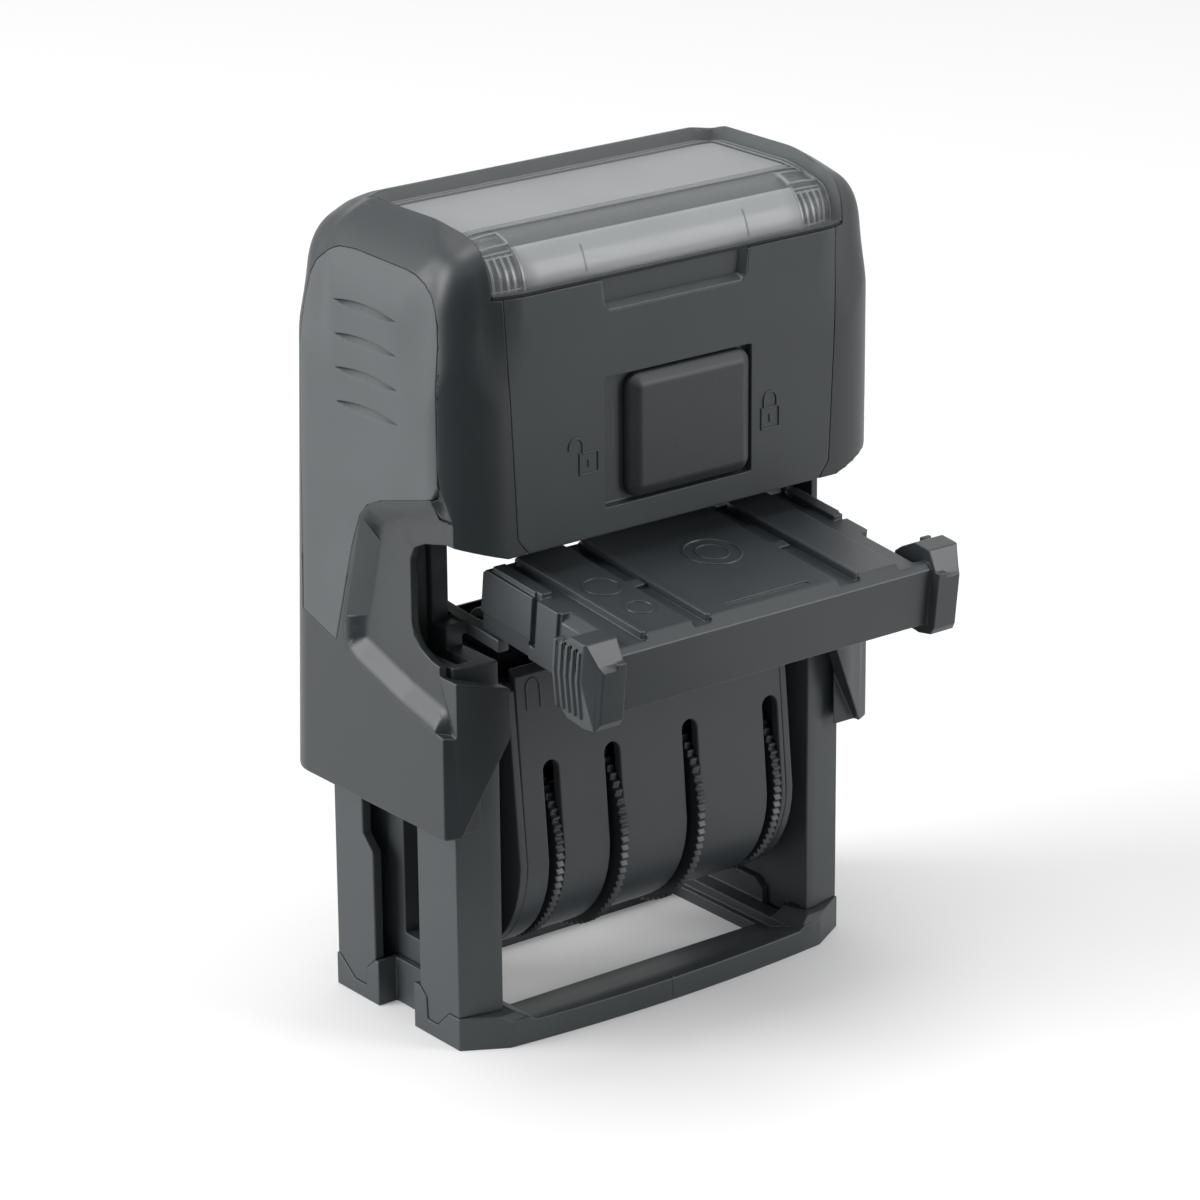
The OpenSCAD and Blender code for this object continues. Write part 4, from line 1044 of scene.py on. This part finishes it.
def add_drum_detail():
    """The arch moulded on the left of the drum's front."""
    low, high = corners("dater_cover")
    lean = DRUM_FRONT_IN / (high[2] - DRUM_TOP_IN - DRUM_MIDDLE_Z)

    def on_drum(point, height):
        return point[0], low[1] + lean * (point[1] - DRUM_MIDDLE_Z) - height, point[1]

    middle = (ARCH_X, ARCH_Z + ARCH_TALL - ARCH_HALF)
    foot = ARCH_Z - ARCH_LEGS
    path = [(ARCH_X + ARCH_HALF, foot)]
    path += arc_of(middle, (ARCH_HALF, ARCH_HALF), 0, 180, ARCH_STEPS)
    path.append((ARCH_X - ARCH_HALF, foot))
    arch = outline_bar(path, ARCH_LINE, -LET_IN, ARCH_HIGH, on_drum)
    add_detail("drum_arch_mark", "dater_cover", *arch)


# Light and floor

AMBIENT = 0.28
LIGHT_TARGET = (0, 0, 0.04)
# Name, place, side of its square and power
LIGHTS = (
    ("key", (-0.9, 0.35, 0.42), 0.7, 11),
    ("front", (0.7, -0.9, 0.45), 0.5, 5.5),
    ("top", (0.0, 0.1, 1.1), 0.7, 6),
)
FLOOR_HALF = 3
FLOOR_WHITE = 0.82
FLOOR_ROUGHNESS = 0.9
FLOOR_GLOW = 0.15
DARK_INNER, DARK_OUTER, DARK_HEIGHT, DARK_LIFT = 0.045, 0.9, 0.6, 0.0004
DARK_HALF_ANGLE = math.radians(62)
DARK_STEPS = 12
DARK_COLOR = 0.02


def add_light(name, place, side, power):
    data = bpy.data.lights.new(name, "AREA")
    data.shape = "RECTANGLE"
    data.size = data.size_y = side
    data.energy = power
    light = bpy.data.objects.new(name, data)
    turn = (Vector(place) - Vector(LIGHT_TARGET)).to_track_quat("Z", "Y")
    light.matrix_world = Matrix.Translation(place) @ turn.to_matrix().to_4x4()
    bpy.context.scene.collection.objects.link(light)


def seen_directly(tree):
    """1 for camera, glossy and transmission rays."""
    path = tree.nodes.new("ShaderNodeLightPath")
    found = path.outputs["Is Camera Ray"]
    for kind in ("Is Glossy Ray", "Is Transmission Ray"):
        either = tree.nodes.new("ShaderNodeMath")
        either.operation = "MAXIMUM"
        tree.links.new(found, either.inputs[0])
        tree.links.new(path.outputs[kind], either.inputs[1])
        found = either.outputs[0]
    return found


def add_world():
    world = bpy.data.worlds.new("studio")
    bpy.context.scene.world = world
    world.use_nodes = True
    tree = world.node_tree
    background = tree.nodes["Background"]
    strength = tree.nodes.new("ShaderNodeMapRange")
    strength.inputs["To Min"].default_value = AMBIENT
    strength.inputs["To Max"].default_value = 1
    tree.links.new(seen_directly(tree), strength.inputs["Value"])
    tree.links.new(strength.outputs["Result"], background.inputs["Strength"])
    background.inputs["Color"].default_value = (1, 1, 1, 1)


def matt(name, brightness, roughness):
    """A matt grey, whose shader has no gloss."""
    material, tree, shader = new_material(name)
    shader.inputs["Base Color"].default_value = (brightness, brightness, brightness, 1)
    shader.inputs["Roughness"].default_value = roughness
    shader.inputs["Specular IOR Level"].default_value = 0
    return material, tree, shader


def add_stage(name, points, faces, material):
    """A piece of the studio, which isn't part of the object."""
    mesh = bpy.data.meshes.new(name)
    mesh.from_pydata(points, [], faces)
    mesh.materials.append(material)
    piece = bpy.data.objects.new(name, mesh)
    bpy.context.scene.collection.objects.link(piece)
    return piece


def add_floor():
    """A white floor that keeps shadows, and glows a little where it is seen directly."""
    material, tree, shader = matt("floor_white", FLOOR_WHITE, FLOOR_ROUGHNESS)
    nodes, links = tree.nodes, tree.links
    glow = nodes.new("ShaderNodeEmission")
    glow.inputs["Strength"].default_value = FLOOR_GLOW
    both = nodes.new("ShaderNodeAddShader")
    links.new(shader.outputs[0], both.inputs[0])
    links.new(glow.outputs[0], both.inputs[1])
    pick = nodes.new("ShaderNodeMixShader")
    links.new(seen_directly(tree), pick.inputs["Fac"])
    links.new(shader.outputs[0], pick.inputs[1])
    links.new(both.outputs[0], pick.inputs[2])
    links.new(pick.outputs[0], nodes["Material Output"].inputs["Surface"])
    far = FLOOR_HALF
    points = [(-far, -far, 0), (far, -far, 0), (far, far, 0), (-far, far, 0)]
    add_stage("floor", points, [(0, 1, 2, 3)], material)


def add_dark_card():
    """A dark card on the floor and up behind the camera, seen only in reflections."""
    middle = math.atan2(-math.cos(CAM_AZIMUTH), -math.sin(CAM_AZIMUTH))
    points, faces = [], []
    for i in range(DARK_STEPS + 1):
        turn = middle - DARK_HALF_ANGLE + 2 * DARK_HALF_ANGLE * i / DARK_STEPS
        c, s = math.cos(turn), math.sin(turn)
        points.append((DARK_INNER * c, DARK_INNER * s, DARK_LIFT))
        points.append((DARK_OUTER * c, DARK_OUTER * s, DARK_LIFT))
        points.append((DARK_OUTER * c, DARK_OUTER * s, DARK_HEIGHT))
    for i in range(DARK_STEPS):
        a, b = 3 * i, 3 * i + 3
        faces += [(a, a + 1, b + 1, b), (a + 1, a + 2, b + 2, b + 1)]
    card = add_stage("dark_card", points, faces, matt("dark_card", DARK_COLOR, 1)[0])
    card.visible_camera = False
    card.visible_diffuse = False
    card.visible_shadow = False
    card.visible_transmission = False


bpy.context.scene.view_settings.view_transform = "Standard"
add_camera()
dress_nodes()
add_cover_detail()
add_panel_detail()
add_cartridge_detail()
add_base_detail()
add_drum_detail()
add_floor()
add_world()
add_dark_card()
for light in LIGHTS:
    add_light(*light)
